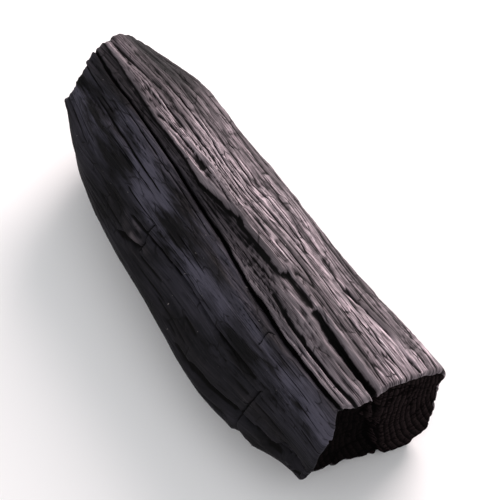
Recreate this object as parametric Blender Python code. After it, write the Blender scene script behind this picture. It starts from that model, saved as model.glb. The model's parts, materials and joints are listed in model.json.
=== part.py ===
"""A lump of lumpwood charcoal: a short length of split log, charred right through.

The grain runs along X. The near end, at +X, is a clean break in two parts, and the far end,
at -X, is narrower and rougher. Split faces and some broken corners make the section.
The lump lies on a small flat spot at z = 0, and the origin is under the middle of its box.
"""

import math
from typing import NamedTuple

import bmesh
import bpy
import numpy as np

MM = 0.001
TURN = 2 * math.pi


class Relief(NamedTuple):
    """A seeded relief: its height, its pitch along the grain and round it, or just one across the grain."""

    height: float
    along: float
    around: float
    seed: int


# Driving sizes of the lump.
LENGTH = 205 * MM
AXIS_HEIGHT = 36.0 * MM
GRAIN_RADIUS = 36 * MM

# Stations along the grain, from the far end to the near end, where the split faces are given.
STATIONS = np.array([-104, -75, -25, 40, 72, 88, 104]) * MM
EASE = 7 * MM
EDGE_SHARPNESS = 19.0

# Each split or broken face: the way that it faces round the axis, in degrees from +Y towards +Z, and
# how far it stands from the axis, in millimetres, at each station.
SPLIT_FACES = {
    "crown": ([62, 74, 78, 78, 77, 77, 76], [28.5, 30.5, 31.0, 31.5, 30.0, 29.0, 28.5]),
    "lit_side": ([36, 48, 52, 52, 52, 52, 52], [28.0, 31.5, 31.5, 30.6, 30.0, 30.5, 30.5]),
    "right": ([0, -4, -8, -9, -10, -10, -10], [27.0, 37.5, 36.5, 35.4, 36.8, 39.2, 42.5]),
    "lower_right": ([-45, -47, -48, -48, -48, -48, -48], [27.0, 35.0, 38.5, 40.5, 41.0, 41.0, 41.5]),
    "sole": ([-94, -94, -92, -91, -91, -91, -92], [26.0, 35.5, 38.5, 38.5, 38.5, 38.5, 38.0]),
    "lower_left": ([236, 236, 236, 236, 237, 237, 238], [19.0, 29.0, 36.0, 38.0, 37.5, 31.5, 31.0]),
    "left_corner": ([194, 194, 194, 194, 194, 196, 196], [15.0, 30.5, 41.0, 47.5, 52.0, 39.5, 36.5]),
    "left": ([124, 131, 135, 139, 146, 151, 155], [16.0, 22.5, 27.0, 28.5, 28.0, 28.0, 28.0]),
    "shoulder": ([92, 100, 104, 106, 110, 112, 114], [24.0, 27.0, 28.5, 29.0, 29.0, 29.0, 29.0]),
}

# Lines of grain that the surface follows: the angle of each at rest, then its true angle at places along X.
GRAIN_X = np.array([-104, -86, -61, -38, -23, 1, 26, 59, 84, 104]) * MM
GRAIN_LINES = {
    "lit_face": (36, [30, 32, 34, 35, 36, 36, 36, 36, 35, 35]),
    "layer_edge": (80, [70, 77, 83, 83, 87, 78, 77, 77, 82, 84]),
    "strip": (91, [74, 82, 87, 89, 91, 88, 92, 101, 101, 102]),
    "long_crack": (102, [79, 88, 92, 95, 95, 99, 106, 115, 117, 117]),
    "left_face": (150, [140, 144, 148, 150, 150, 150, 150, 150, 152, 154]),
    "left_corner": (200, [200, 200, 200, 200, 200, 200, 200, 200, 200, 200]),
    "lower_right": (320, [320, 320, 320, 320, 320, 320, 320, 320, 320, 320]),
}
WANDER = Relief(math.radians(2.0), 48 * MM, 60 * MM, 3)
ZIGZAG = Relief(3.0 * MM, 45 * MM, 9 * MM, 29)

# The top layer has broken away along a ragged edge. The next one starts this far below it, at each place
# of GRAIN_X, in millimetres, and slopes down by this much more to the long crack.
LAYER_ANGLE = 80
LAYER_STEPS = [1.0, 1.5, 2.5, 3.2, 3.8, 3.5, 2.2, 0.8, 0.4, 0.4]
LAYER_WALL = 1.5 * MM
LAYER_FADE = 22 * MM
STRIP_SLOPES = [0.3, 0.5, 1.0, 1.5, 2.0, 2.6, 2.2, 1.4, 1.0, 0.8]
STRIP_END = 102
STRIP_END_WALL = 1.9 * MM

# Drying checks along the grain: angle at rest in degrees, where each starts and ends along X, half its
# width and its depth, in millimetres. The first is the long crack, the second opens at the near end.
CHECKS = [
    (102, -116, 118, 1.9, 5.0),
    (80, 54, 122, 1.5, 6.5),
    (91, 38, 112, 0.9, 2.0),
    (33, 50, 101, 0.9, 3.0),
    (54, -76, 12, 1.0, 2.2),
    (127, -92, -28, 0.9, 1.4),
    (163, -34, 60, 1.2, 3.6),
    (187, 20, 118, 1.3, 4.5),
    (214, -96, 30, 1.4, 4.8),
    (246, -40, 88, 1.1, 3.2),
    (281, 10, 122, 1.5, 5.0),
    (325, -60, 66, 1.6, 5.5),
    (352, -30, 84, 1.3, 4.0),
    (10, -118, -46, 1.2, 3.6),
]

# Cross breaks between checks: place along X in millimetres, from which to which angle in degrees, half
# the width and the depth in millimetres.
CROSS_BREAKS = [
    (52, 102, 134, 1.0, 1.8),
    (-22, 150, 178, 1.2, 2.4),
    (-52, 187, 246, 1.0, 3.0),
    (8, 214, 281, 1.0, 2.8),
    (36, 281, 352, 1.1, 3.2),
    (-36, 325, 370, 1.0, 2.6),
    (66, 163, 214, 0.9, 2.4),
]

# How fast a check and a cross break open out from their ends.
CHECK_TAPER = 0.6
BREAK_TAPER = 8

# Relief of the charred skin, from broad swells to bundles of fibres.
SWELLS = Relief(1.1 * MM, 38 * MM, 21 * MM, 5)
FLAKES = Relief(1.2 * MM, 46 * MM, 12 * MM, 23)
FLAKE_STEEPNESS = 1.2
FIBRES = Relief(0.9 * MM, 33 * MM, 5.6 * MM, 11)

# The broken ends. The near end's rim stands out by this much, in millimetres, at these angles at rest. Its
# right part is domed, and its left part, past a crack from the open check to the sole's check, is hollow.
NEAR_RIM_ANGLES = [
    *(0, 18, 42, 54, 88, 93, 99, 104, 112, 122, 138, 162),
    *(179, 190, 200, 225, 258, 275, 285, 300, 318, 330, 342, 360),
]
NEAR_RIM_OUTS = [
    *(-1.0, -1.3, -1.0, 0, 0.3, -1.5, -4.5, -5.0, -3.2, -0.5, 1.2, 2.0),
    *(2.5, 0.5, -1.5, -3.5, -4.0, -2.0, 0.5, 3.5, 4.5, 2.5, 0, -1.0),
]
NEAR_MIDDLE = (1.5 * MM, -4 * MM)
NEAR_SEAM = (80, 281)
NEAR_DOME = 1.5 * MM
NEAR_HOLLOW = 5.0 * MM
NEAR_CRACK = 4.0 * MM
NEAR_CRACK_WIDTH = 1.3 * MM
NEAR_LUMPS = Relief(0.7 * MM, 0, 11 * MM, 41)
FAR_LEAN = (0.12, 0.20)
FAR_MIDDLE = (6 * MM, 0 * MM)
FAR_LUMPS = Relief(2.2 * MM, 0, 13 * MM, 57)
FAR_SPLINTERS = Relief(1.1 * MM, 0, 6 * MM, 58)
RIM_ROUND = 1.8 * MM
RIM_REACH = 30 * MM

# Mesh: plain columns round the lump, plain rows along it and rings on each end.
PLAIN_COLUMNS = 78
PLAIN_ROWS = 33
RIM_ROWS = 2
END_RINGS = 4
CLEARANCE_ROUND = math.radians(2.4)
CLEARANCE_ALONG = 1.6 * MM


def eased(x, values):
    """A value given at the stations, with its corners eased by a mean over a short stretch of grain."""
    shifts = np.linspace(-EASE, EASE, 5)
    return np.mean([np.interp(x + shift, STATIONS, values) for shift in shifts], axis=0)


def smooth(share):
    """0 below 0, 1 above 1 and an S curve between."""
    share = np.clip(share, 0, 1)
    return share * share * (3 - 2 * share)


def angle_gap(angle, other):
    """The signed gap between two directions, from minus half a turn to half a turn."""
    return (angle - other + math.pi) % TURN - math.pi


def fibre_relief(x, angle, relief):
    """Fibres side by side round the lump, each with its own slow rise and fall along the grain."""
    fibres = round(TURN * GRAIN_RADIUS / relief.around)
    knots = math.ceil(2 * LENGTH / relief.along) + 4
    draw = np.random.default_rng(relief.seed)
    heights = draw.uniform(-1, 1, (fibres, knots))
    phases = draw.uniform(0, 1, fibres)
    place = (angle / TURN % 1) * fibres
    first = np.floor(place).astype(int) % fibres

    def height_of(fibre):
        along = (x + LENGTH) / relief.along + phases[fibre]
        knot = np.floor(along).astype(int)
        share = smooth(along - knot)
        return heights[fibre, knot] * (1 - share) + heights[fibre, knot + 1] * share

    blend = smooth(place - np.floor(place))
    return relief.height * (height_of(first) * (1 - blend) + height_of((first + 1) % fibres) * blend)


def lattice_relief(y, z, relief):
    """Smooth rises and falls over a square lattice across the grain."""
    size = 2 * math.ceil(LENGTH / relief.around)
    heights = np.random.default_rng(relief.seed).uniform(-1, 1, (size, size))
    u = y / relief.around + size / 2
    v = z / relief.around + size / 2
    i = np.floor(u).astype(int)
    j = np.floor(v).astype(int)
    s = smooth(u - i)
    t = smooth(v - j)
    near = heights[i, j] * (1 - s) + heights[i + 1, j] * s
    far = heights[i, j + 1] * (1 - s) + heights[i + 1, j + 1] * s
    return relief.height * (near * (1 - t) + far * t)


def true_angle(x, angle):
    """Where a line of grain, known by its angle at rest, really lies round the axis."""
    rest = np.radians([line[0] for line in GRAIN_LINES.values()])
    paths = [np.radians(np.interp(x, GRAIN_X, line[1])) for line in GRAIN_LINES.values()]
    shifts = [path - start for path, start in zip(paths, rest)]
    turned = np.zeros_like(angle)
    for this in range(len(rest)):
        after = (this + 1) % len(rest)
        span = (rest[after] - rest[this]) % TURN
        share = (angle - rest[this]) % TURN / span
        blended = shifts[this] * (1 - share) + shifts[after] * share
        turned = np.where(share < 1, blended, turned)
    return angle + turned + fibre_relief(x, angle, WANDER)


def true_place(x, angle):
    """Where a line across the grain really lies along X: away from the rims it jumps from fibre to fibre."""
    fade = smooth((LENGTH / 2 - np.abs(x)) / (2 * ZIGZAG.height))
    return x + fade * fibre_relief(x, angle, ZIGZAG)


def split_radius(x, angle):
    """Distance from the axis to the split faces, blended over the edges where two of them meet."""
    total = 0
    for tilts, reaches in SPLIT_FACES.values():
        facing = np.cos(angle - np.radians(eased(x, tilts)))
        total = total + (np.clip(facing, 0, 1) / (eased(x, reaches) * MM)) ** EDGE_SHARPNESS
    return total ** (-1 / EDGE_SHARPNESS)


def layer_relief(x, rest):
    """How far the skin drops past the top layer's edge and on down to the long crack."""
    past = angle_gap(rest, math.radians(LAYER_ANGLE)) * GRAIN_RADIUS
    step = np.interp(x, GRAIN_X, LAYER_STEPS) * MM
    drop = step * smooth(past / LAYER_WALL) * np.exp(-np.clip(past, 0, None) / LAYER_FADE)
    width = math.radians(STRIP_END - LAYER_ANGLE) * GRAIN_RADIUS
    beyond = np.clip((past - width) / STRIP_END_WALL, 0, 1)
    slope = np.interp(x, GRAIN_X, STRIP_SLOPES) * MM
    return drop + slope * np.clip(past / width, 0, 1) * (1 - beyond)


def check_relief(x, angle):
    """Depth of the drying checks: a steep groove that narrows to nothing at both of its ends."""
    deepest = 0
    for degrees, start, end, half_width, depth in CHECKS:
        share = np.clip((x / MM - start) / (end - start), 0, 1)
        opening = np.sin(math.pi * share) ** CHECK_TAPER
        across = np.abs(angle_gap(angle, math.radians(degrees))) * GRAIN_RADIUS / MM
        wall = np.clip(1 - across / half_width, 0, 1)
        deepest = np.maximum(deepest, depth * MM * opening * wall)
    return deepest


def cross_relief(x, angle):
    """Depth of the breaks across the grain, which run from one check to another."""
    deepest = 0
    for place, start, end, half_width, depth in CROSS_BREAKS:
        share = (np.degrees(angle) - start) % 360 / (end - start)
        inside = smooth(share * BREAK_TAPER) * smooth((1 - share) * BREAK_TAPER)
        wall = np.clip(1 - np.abs(x / MM - place) / half_width, 0, 1)
        deepest = np.maximum(deepest, depth * MM * inside * wall)
    return deepest


def skin_relief(x, angle):
    """How far the charred skin lies inside its split faces, apart from its layers and cracks."""
    flake = fibre_relief(x, angle, FLAKES) / FLAKES.height
    flakes = FLAKES.height * smooth(0.5 + FLAKE_STEEPNESS * flake)
    return flakes + fibre_relief(x, angle, SWELLS) + fibre_relief(x, angle, FIBRES)


def rim_relief(x):
    """How far the skin turns in at the worn rims of both ends."""
    share = np.clip(1 - (LENGTH / 2 - np.abs(x)) / RIM_ROUND, 0, 1)
    return RIM_ROUND * (1 - np.sqrt(1 - share**2))


def near_break(y, z, rest, spread):
    """How far the near end stands out, from its middle, where the spread is 0, to its rim, where it is 1."""
    rim = np.interp(np.degrees(rest) % 360, NEAR_RIM_ANGLES, NEAR_RIM_OUTS) * MM
    out = rim * spread**2 + lattice_relief(y, z, NEAR_LUMPS)
    reach = np.hypot(y - NEAR_MIDDLE[0], z - NEAR_MIDDLE[1])
    start, end = np.radians(NEAR_SEAM)
    past_start = angle_gap(rest, start) * reach / NEAR_CRACK_WIDTH
    past_end = angle_gap(rest, end) * reach / NEAR_CRACK_WIDTH
    beyond = (rest - start) % TURN < end - start
    level = np.where(beyond, smooth(np.minimum(np.abs(past_start), np.abs(past_end))), 0)
    crack = np.clip(1 - np.minimum(np.abs(past_start), np.abs(past_end)), 0, 1)
    inside = 1 - spread**4
    return out + NEAR_DOME * inside - (NEAR_DOME + NEAR_HOLLOW) * inside * level - NEAR_CRACK * crack


def far_break(y, z, rest, spread):
    """How far the far end stands out: it leans and is splintered, from its middle to its rim alike."""
    rough = lattice_relief(y, z, FAR_LUMPS) + lattice_relief(y, z, FAR_SPLINTERS)
    return FAR_LEAN[0] * y + FAR_LEAN[1] * z + rough


def rest_columns():
    """Angles at rest of the mesh's columns: an even spread, and three on each check."""
    marks = []
    for degrees, _, _, half_width, _ in CHECKS:
        centre = math.radians(degrees)
        side = half_width * MM / GRAIN_RADIUS
        marks.extend([centre - side, centre, centre + side])
    marks = np.array(marks) % TURN
    even = np.arange(PLAIN_COLUMNS) * TURN / PLAIN_COLUMNS
    clear = np.abs(angle_gap(even[:, None], marks)).min(axis=1) > CLEARANCE_ROUND
    return np.sort(np.concatenate([even[clear], marks]))


def rest_rows():
    """Places along X of the mesh's rows: an even spread, some close to the rims and three on each break."""
    half = LENGTH / 2
    rim = np.array([half - RIM_ROUND * (step / RIM_ROWS) ** 2 for step in range(RIM_ROWS + 1)])
    marks = []
    for place, _, _, half_width, _ in CROSS_BREAKS:
        marks.extend([(place - half_width) * MM, place * MM, (place + half_width) * MM])
    marks = np.array(marks)
    even = np.linspace(-half, half, PLAIN_ROWS)[1:-1]
    clear = np.abs(even[:, None] - marks).min(axis=1) > CLEARANCE_ALONG
    return np.sort(np.concatenate([even[clear], marks, rim, -rim]))


def end_rings(rim_y, rim_z, rest, middle, broken):
    """Rings of points from the middle of a broken end out to the rim, which isn't one of them."""
    spread = np.arange(END_RINGS)[:, None] / END_RINGS
    y = middle[0] + (rim_y - middle[0]) * spread
    z = middle[1] + (rim_z - middle[1]) * spread
    out = broken(y, z, rest, spread)
    out[0] = out[0].mean()
    return y, z, out


def lump_grid():
    """The lump's points in rows and columns: the far end's rings, the skin's rows, the near end's rings."""
    half = LENGTH / 2
    place, rest = np.meshgrid(rest_rows(), rest_columns(), indexing="ij")
    x = true_place(place, rest)
    angle = true_angle(x, rest)
    cracks = np.maximum(check_relief(place, rest), cross_relief(place, rest))
    relief = skin_relief(x, angle) + layer_relief(place, rest) + cracks + rim_relief(place)
    radius = split_radius(x, angle) - relief
    y = radius * np.cos(angle)
    z = radius * np.sin(angle)
    far = end_rings(y[0], z[0], rest[0], FAR_MIDDLE, far_break)
    near = end_rings(y[-1], z[-1], rest[-1], NEAR_MIDDLE, near_break)
    x = x - far_break(y[0], z[0], rest[0], 1) * np.clip(1 - (half + place) / RIM_REACH, 0, 1) ** 2
    x = x + near_break(y[-1], z[-1], rest[-1], 1) * np.clip(1 - (half - place) / RIM_REACH, 0, 1) ** 2
    far_points = np.stack([-half - far[2], far[0], far[1]], axis=-1)
    near_points = np.stack([half + near[2], near[0], near[1]], axis=-1)[::-1]
    return np.concatenate([far_points, np.stack([x, y, z], axis=-1), near_points])


def set_down(points):
    """Raises the lump, cuts it flat at z = 0 where it lies, and centres its box over the origin."""
    points = points + np.array([0, 0, AXIS_HEIGHT])
    points[..., 2] = np.maximum(points[..., 2], 0)
    low = points.min(axis=(0, 1))
    high = points.max(axis=(0, 1))
    return points - np.array([(low[0] + high[0]) / 2, (low[1] + high[1]) / 2, 0])


def build_lump():
    """A sphere whose rings and segments are carried to the lump's rows and columns."""
    grid = set_down(lump_grid())
    rows, columns = grid.shape[:2]
    shape = bmesh.new()
    bmesh.ops.create_uvsphere(shape, u_segments=columns, v_segments=rows - 1, radius=1)
    for vertex in shape.verts:
        row = round((1 - math.acos(max(-1, min(1, vertex.co.z))) / math.pi) * (rows - 1))
        column = round(math.atan2(vertex.co.y, vertex.co.x) / TURN * columns) % columns
        vertex.co = grid[row, column]
    mesh = bpy.data.meshes.new("charcoal_lump")
    shape.to_mesh(mesh)
    shape.free()
    return mesh


def charred_wood():
    """Matt black charcoal, a little warm, with the faint lustre of a fresh break."""
    material = bpy.data.materials.new("charred_wood")
    material.use_nodes = True
    shader = material.node_tree.nodes["Principled BSDF"]
    shader.inputs["Base Color"].default_value = (0.035, 0.031, 0.033, 1)
    shader.inputs["Roughness"].default_value = 0.62
    shader.inputs["Metallic"].default_value = 0.0
    return material


def main():
    """Clears the scene and builds the lump in a collection of its own."""
    for obj in list(bpy.data.objects):
        bpy.data.objects.remove(obj, do_unlink=True)
    collection = bpy.data.collections.new("Charcoal lump")
    bpy.context.scene.collection.children.link(collection)
    mesh = build_lump()
    mesh.materials.append(charred_wood())
    mesh.shade_smooth()
    mesh.set_sharp_from_angle(angle=math.radians(35))
    lump = bpy.data.objects.new("charcoal_lump", mesh)
    collection.objects.link(lump)


main()
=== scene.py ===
"""Visual model of a lump of lumpwood charcoal, lying on a pale studio floor.

The lump is one closed surface of two parameters: a place along the grain and an angle round it, both taken
"at rest", as if the grain ran straight. The grain lines, the split faces and the relief of the char then
carry each pair to a point. Shapes are worked out in millimetres and written to the mesh in metres.
"""

from __future__ import annotations

import json
import logging
import math
from dataclasses import dataclass, field, fields
from enum import Enum

import bpy
import numpy as np
from mathutils import Matrix, Vector

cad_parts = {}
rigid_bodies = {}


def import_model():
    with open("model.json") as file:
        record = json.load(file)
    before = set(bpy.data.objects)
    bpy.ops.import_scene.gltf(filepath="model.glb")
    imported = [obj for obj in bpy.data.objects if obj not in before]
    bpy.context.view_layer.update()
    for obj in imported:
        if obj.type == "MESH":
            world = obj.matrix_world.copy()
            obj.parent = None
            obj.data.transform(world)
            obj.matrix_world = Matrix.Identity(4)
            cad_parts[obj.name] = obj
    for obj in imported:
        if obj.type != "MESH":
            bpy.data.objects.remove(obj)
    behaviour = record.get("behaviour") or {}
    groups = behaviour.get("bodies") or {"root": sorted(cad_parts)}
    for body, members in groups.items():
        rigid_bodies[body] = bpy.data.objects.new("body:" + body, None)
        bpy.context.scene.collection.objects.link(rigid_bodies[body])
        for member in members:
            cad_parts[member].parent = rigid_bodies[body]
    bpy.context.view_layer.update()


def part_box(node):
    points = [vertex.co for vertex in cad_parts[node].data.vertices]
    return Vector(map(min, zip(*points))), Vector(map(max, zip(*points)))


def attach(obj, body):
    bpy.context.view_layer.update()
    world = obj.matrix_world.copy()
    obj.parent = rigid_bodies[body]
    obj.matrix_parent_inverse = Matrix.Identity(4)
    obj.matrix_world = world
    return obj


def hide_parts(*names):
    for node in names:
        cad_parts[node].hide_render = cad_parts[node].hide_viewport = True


log = logging.getLogger("charcoal_lump")

Array = np.ndarray
Sockets = dict[str, bpy.types.NodeSocket]

MM = 0.001
TURN = 2.0 * math.pi
BODY = "root"
NODE = "charcoal_lump"

# The lump at rest is this long. Angles become lengths round it on a log of the grain's radius.
LENGTH = 205.0
GRAIN_RADIUS = 36.0

# Places along X where the grain lines and the top layer are given.
GRAIN_X = (-104, -86, -61, -38, -23, 1, 26, 59, 84, 104)

# The tree's pith, across the grain and up from the lump's own axis, and how far apart its growth rings lie.
PITH = (72.0, -7.0)
RING_PITCH = 2.9


def smooth(share: Array) -> Array:
    """Eases a share: 0 below 0, 1 above 1, and three squares less two cubes of it between.

    Args:
        share: Values of any size.

    Returns:
        Values from 0 to 1.
    """
    share = np.clip(share, 0.0, 1.0)
    return share * share * (3.0 - 2.0 * share)


def angle_gap(angle: Array, other: Array | float) -> Array:
    """Works out the signed gap between two directions.

    Args:
        angle: Directions in radians.
        other: What they are compared with, in radians.

    Returns:
        The gaps, from minus half a turn to half a turn.
    """
    return (angle - other + math.pi) % TURN - math.pi


@dataclass(frozen=True)
class FibreRelief:
    """Fibres side by side round the lump, each with its own rise and fall along the grain.

    Attributes:
        height: Largest rise.
        along: Distance between the knots of one fibre, where its rise is drawn, in millimetres.
        around: Width of a fibre, in millimetres.
        seed: Seed of the draw.
        side_edge: Share of a fibre's width in which it turns into the next. A small one splits them apart.
        end_edge: Share of the distance along in which one height turns into the next. A small one snaps
            them off.
    """

    height: float
    along: float
    around: float
    seed: int
    side_edge: float = 1.0
    end_edge: float = 1.0

    def at(self, x: Array, angle: Array) -> Array:
        """Blends the drawn heights of the two nearest fibres, each eased between its own knots.

        Args:
            x: Places along the grain, in millimetres.
            angle: Angles round it, in radians.

        Returns:
            Rises from minus the height to plus the height.
        """
        fibres = round(TURN * GRAIN_RADIUS / self.around)
        # Places run from minus to plus the length. The spare knots are for a fibre's phase and its next knot.
        knots = math.ceil(2.0 * LENGTH / self.along) + 4
        draw = np.random.default_rng(self.seed)
        heights = draw.uniform(-1.0, 1.0, (fibres, knots))
        phases = draw.uniform(0.0, 1.0, fibres)
        place = (angle / TURN % 1.0) * fibres
        first = np.floor(place).astype(int) % fibres
        blend = smooth((place - np.floor(place) - 0.5) / self.side_edge + 0.5)
        total = np.zeros(np.broadcast(x, angle).shape)
        for fibre, share in ((first, 1.0 - blend), ((first + 1) % fibres, blend)):
            step = (x + LENGTH) / self.along + phases[fibre]
            knot = np.floor(step).astype(int)
            ease = smooth((step - knot - 0.5) / self.end_edge + 0.5)
            total = total + share * (heights[fibre, knot] * (1.0 - ease) + heights[fibre, knot + 1] * ease)
        return self.height * total


@dataclass(frozen=True)
class Clefts:
    """Narrow gaps between bundles of fibres: they open where a slow relief passes through zero.

    Attributes:
        bundles: The slow relief, of height 1, whose fibres are the bundles.
        opening: How near to zero the relief is where a gap starts.
        depth: Depth of a gap, in millimetres.
    """

    bundles: FibreRelief
    opening: float
    depth: float

    def at(self, x: Array, angle: Array) -> Array:
        """Takes the depth, less its share of how near to zero the relief is.

        Args:
            x: Places along the grain, in millimetres.
            angle: Angles round it, in radians.

        Returns:
            Depths in millimetres.
        """
        return self.depth * np.clip(1.0 - np.abs(self.bundles.at(x, angle)) / self.opening, 0.0, 1.0)


@dataclass(frozen=True)
class LatticeRelief:
    """Smooth rises and falls over a square lattice across the grain.

    Attributes:
        height: Largest rise, in millimetres.
        pitch: Side of a lattice square, in millimetres.
        seed: Seed of the draw.
    """

    height: float
    pitch: float
    seed: int

    def at(self, y: Array, z: Array) -> Array:
        """Eases between the four drawn corners of the square that a point lies in.

        Args:
            y: Places across the grain, in millimetres.
            z: Places up, in millimetres.

        Returns:
            Rises from minus the height to plus the height.
        """
        size = 2 * math.ceil(LENGTH / self.pitch)
        heights = np.random.default_rng(self.seed).uniform(-1.0, 1.0, (size, size))
        u = y / self.pitch + size / 2
        v = z / self.pitch + size / 2
        i = np.floor(u).astype(int)
        j = np.floor(v).astype(int)
        s = smooth(u - i)
        t = smooth(v - j)
        near = heights[i, j] * (1.0 - s) + heights[i + 1, j] * s
        far = heights[i, j + 1] * (1.0 - s) + heights[i + 1, j + 1] * s
        return self.height * (near * (1.0 - t) + far * t)


@dataclass(frozen=True)
class SplitFace:
    """One split or broken face of the log.

    Attributes:
        tilts: The way it faces at each station, in degrees.
        reaches: Its distance from the axis there, in millimetres.
    """

    tilts: tuple[float, ...]
    reaches: tuple[float, ...]


@dataclass(frozen=True)
class GrainLine:
    """A line of grain.

    Attributes:
        rest: Its angle at rest, in degrees.
        path: Its true angle at each place of GRAIN_X.
    """

    rest: float
    path: tuple[float, ...]


@dataclass(frozen=True)
class Check:
    """A drying check along the grain.

    Attributes:
        angle: Its angle at rest, in degrees.
        start: Where it starts along X, in millimetres.
        end: Where it ends.
        half_width: Half its width.
        depth: Its depth.
    """

    angle: float
    start: float
    end: float
    half_width: float
    depth: float


@dataclass(frozen=True)
class CrossBreak:
    """A break across the grain.

    Attributes:
        place: Its place along X, in millimetres.
        start: The angle at rest where it starts, in degrees.
        end: The angle where it ends.
        half_width: Half its width.
        depth: Its depth.
    """

    place: float
    start: float
    end: float
    half_width: float
    depth: float


@dataclass(frozen=True)
class Chip:
    """A flake of char knocked off an edge.

    Attributes:
        place: Its place along X, in millimetres.
        angle: Its angle at rest, in degrees.
        half_along: Half its length.
        half_around: Half its width.
        depth: Its depth.
    """

    place: float
    angle: float
    half_along: float
    half_around: float
    depth: float


class BrokenEnd(Enum):
    """The two broken ends of the lump, by the way that each faces along X."""

    FAR = -1
    NEAR = 1


@dataclass(frozen=True)
class SplitLog:
    """The split log's main form: its faces and the way its grain runs, in millimetres.

    Attributes:
        axis_height: Height of the lump's own axis over the ground.
        stations: Places along X where the faces are given.
        ease: How far to either side the readings between the stations are averaged.
        edge_sharpness: The power of the blend. A higher one makes sharper edges between the faces.
        faces: The faces, counter-clockwise from the top.
        grain_lines: Lines of grain, which the grain between them follows.
        wander: The grain's slow wander, in radians.
        zigzag: How far a line across the grain strays along it.
    """

    axis_height: float = 36.0
    stations: tuple[float, ...] = (-104, -75, -25, 40, 72, 88, 104)
    ease: float = 7.0
    edge_sharpness: float = 19.0
    faces: tuple[SplitFace, ...] = (
        SplitFace((62, 74, 78, 78, 77, 77, 76), (28.5, 30.5, 31.0, 31.5, 30.0, 29.0, 28.5)),
        SplitFace((36, 48, 52, 52, 52, 52, 52), (28.0, 31.5, 31.5, 30.6, 30.0, 30.5, 30.5)),
        SplitFace((0, -4, -8, -9, -10, -10, -10), (27.0, 37.5, 36.5, 35.4, 36.8, 39.2, 42.5)),
        SplitFace((-45, -47, -48, -48, -48, -48, -48), (27.0, 35.0, 38.5, 40.5, 41.0, 41.0, 41.5)),
        SplitFace((-94, -94, -92, -91, -91, -91, -92), (26.0, 35.5, 38.5, 38.5, 38.5, 38.5, 38.0)),
        SplitFace((236, 236, 236, 236, 237, 237, 238), (19.0, 29.0, 36.0, 38.0, 37.5, 31.5, 31.0)),
        SplitFace((194, 194, 194, 194, 194, 196, 196), (15.0, 30.5, 41.0, 47.5, 52.0, 39.5, 36.5)),
        SplitFace((124, 131, 135, 139, 146, 151, 155), (16.0, 22.5, 27.0, 28.5, 28.0, 28.0, 28.0)),
        SplitFace((92, 100, 104, 106, 110, 112, 114), (24.0, 27.0, 28.5, 29.0, 29.0, 29.0, 29.0)),
    )
    grain_lines: tuple[GrainLine, ...] = (
        GrainLine(36, (30, 32, 34, 35, 36, 36, 36, 36, 35, 35)),
        GrainLine(80, (70, 77, 83, 83, 87, 78, 78, 80, 83, 84)),
        GrainLine(91, (74, 82, 87, 89, 91, 90, 96, 107, 108, 107)),
        GrainLine(102, (79, 88, 92, 95, 98, 104, 112, 120, 121, 119)),
        GrainLine(150, (140, 144, 148, 150, 150, 150, 150, 150, 152, 154)),
        GrainLine(200, (200,) * 10),
        GrainLine(320, (320,) * 10),
    )
    wander: FibreRelief = FibreRelief(math.radians(2.0), 48, 60, 3)
    zigzag: FibreRelief = FibreRelief(3.0, 45, 9, 29, side_edge=0.45)

    def eased(self, x: Array, values: tuple[float, ...]) -> Array:
        """Reads a value given at the stations, as the mean of five readings a short way either side.

        Args:
            x: Places along the grain, in millimetres.
            values: The value at each station.

        Returns:
            The eased values.
        """
        shifts = np.linspace(-self.ease, self.ease, 5)
        return np.mean([np.interp(x + shift, self.stations, values) for shift in shifts], axis=0)

    def split_radius(self, x: Array, angle: Array) -> Array:
        """Blends the faces: the sum of (cosine of the gap over the reach) to a high power, turned back.

        Args:
            x: Places along the grain, in millimetres.
            angle: True angles, in radians.

        Returns:
            Distances from the axis to the split faces, in millimetres.
        """
        total = np.zeros(np.broadcast(x, angle).shape)
        for face in self.faces:
            facing = np.clip(np.cos(angle - np.radians(self.eased(x, face.tilts))), 0.0, 1.0)
            total += (facing / self.eased(x, face.reaches)) ** self.edge_sharpness
        return total ** (-1.0 / self.edge_sharpness)

    def true_angle(self, x: Array, rest: Array) -> Array:
        """Turns an angle at rest by what the two grain lines beside it have turned, in proportion.

        Args:
            x: Places along the grain, in millimetres.
            rest: Angles at rest, in radians.

        Returns:
            True angles, in radians.
        """
        starts = [math.radians(line.rest) for line in self.grain_lines]
        paths = [np.radians(np.interp(x, GRAIN_X, line.path)) for line in self.grain_lines]
        shifts = [path - start for path, start in zip(paths, starts)]
        turned = np.zeros(np.broadcast(x, rest).shape)
        for this, start in enumerate(starts):
            after = (this + 1) % len(starts)
            share = (rest - start) % TURN / ((starts[after] - start) % TURN)
            turned = np.where(share < 1.0, shifts[this] * (1.0 - share) + shifts[after] * share, turned)
        return rest + turned + self.wander.at(x, rest)

    def true_place(self, x: Array, rest: Array) -> Array:
        """Moves a place at rest along X, fibre by fibre, so that lines across the grain zigzag.

        The zigzag fades to nothing at the rims, from twice its own height away.

        Args:
            x: Places at rest, in millimetres.
            rest: Angles at rest, in radians.

        Returns:
            True places along X, in millimetres.
        """
        fade = smooth((LENGTH / 2 - np.abs(x)) / (2.0 * self.zigzag.height))
        return x + fade * self.zigzag.at(x, rest)


@dataclass(frozen=True)
class Jogs:
    """How a crack or a broken edge strays from its grain line: it runs with the fibres and jumps across them.

    Attributes:
        long: Rare jumps, with straight runs between them.
        short: Frequent ones.
    """

    long: FibreRelief = FibreRelief(0.8, 31, 80, 89, end_edge=0.12)
    short: FibreRelief = FibreRelief(0.35, 8.5, 80, 97, end_edge=0.3)

    def at(self, place: Array, phase: float) -> Array:
        """Sums the long and the short jogs.

        Args:
            place: Places along the grain, in millimetres.
            phase: An angle, so that no two cracks stray alike.

        Returns:
            From minus to plus the two heights' sum.
        """
        first = np.full_like(place, phase)
        return self.long.at(place, first) + self.short.at(place, first + 1.0)


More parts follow.
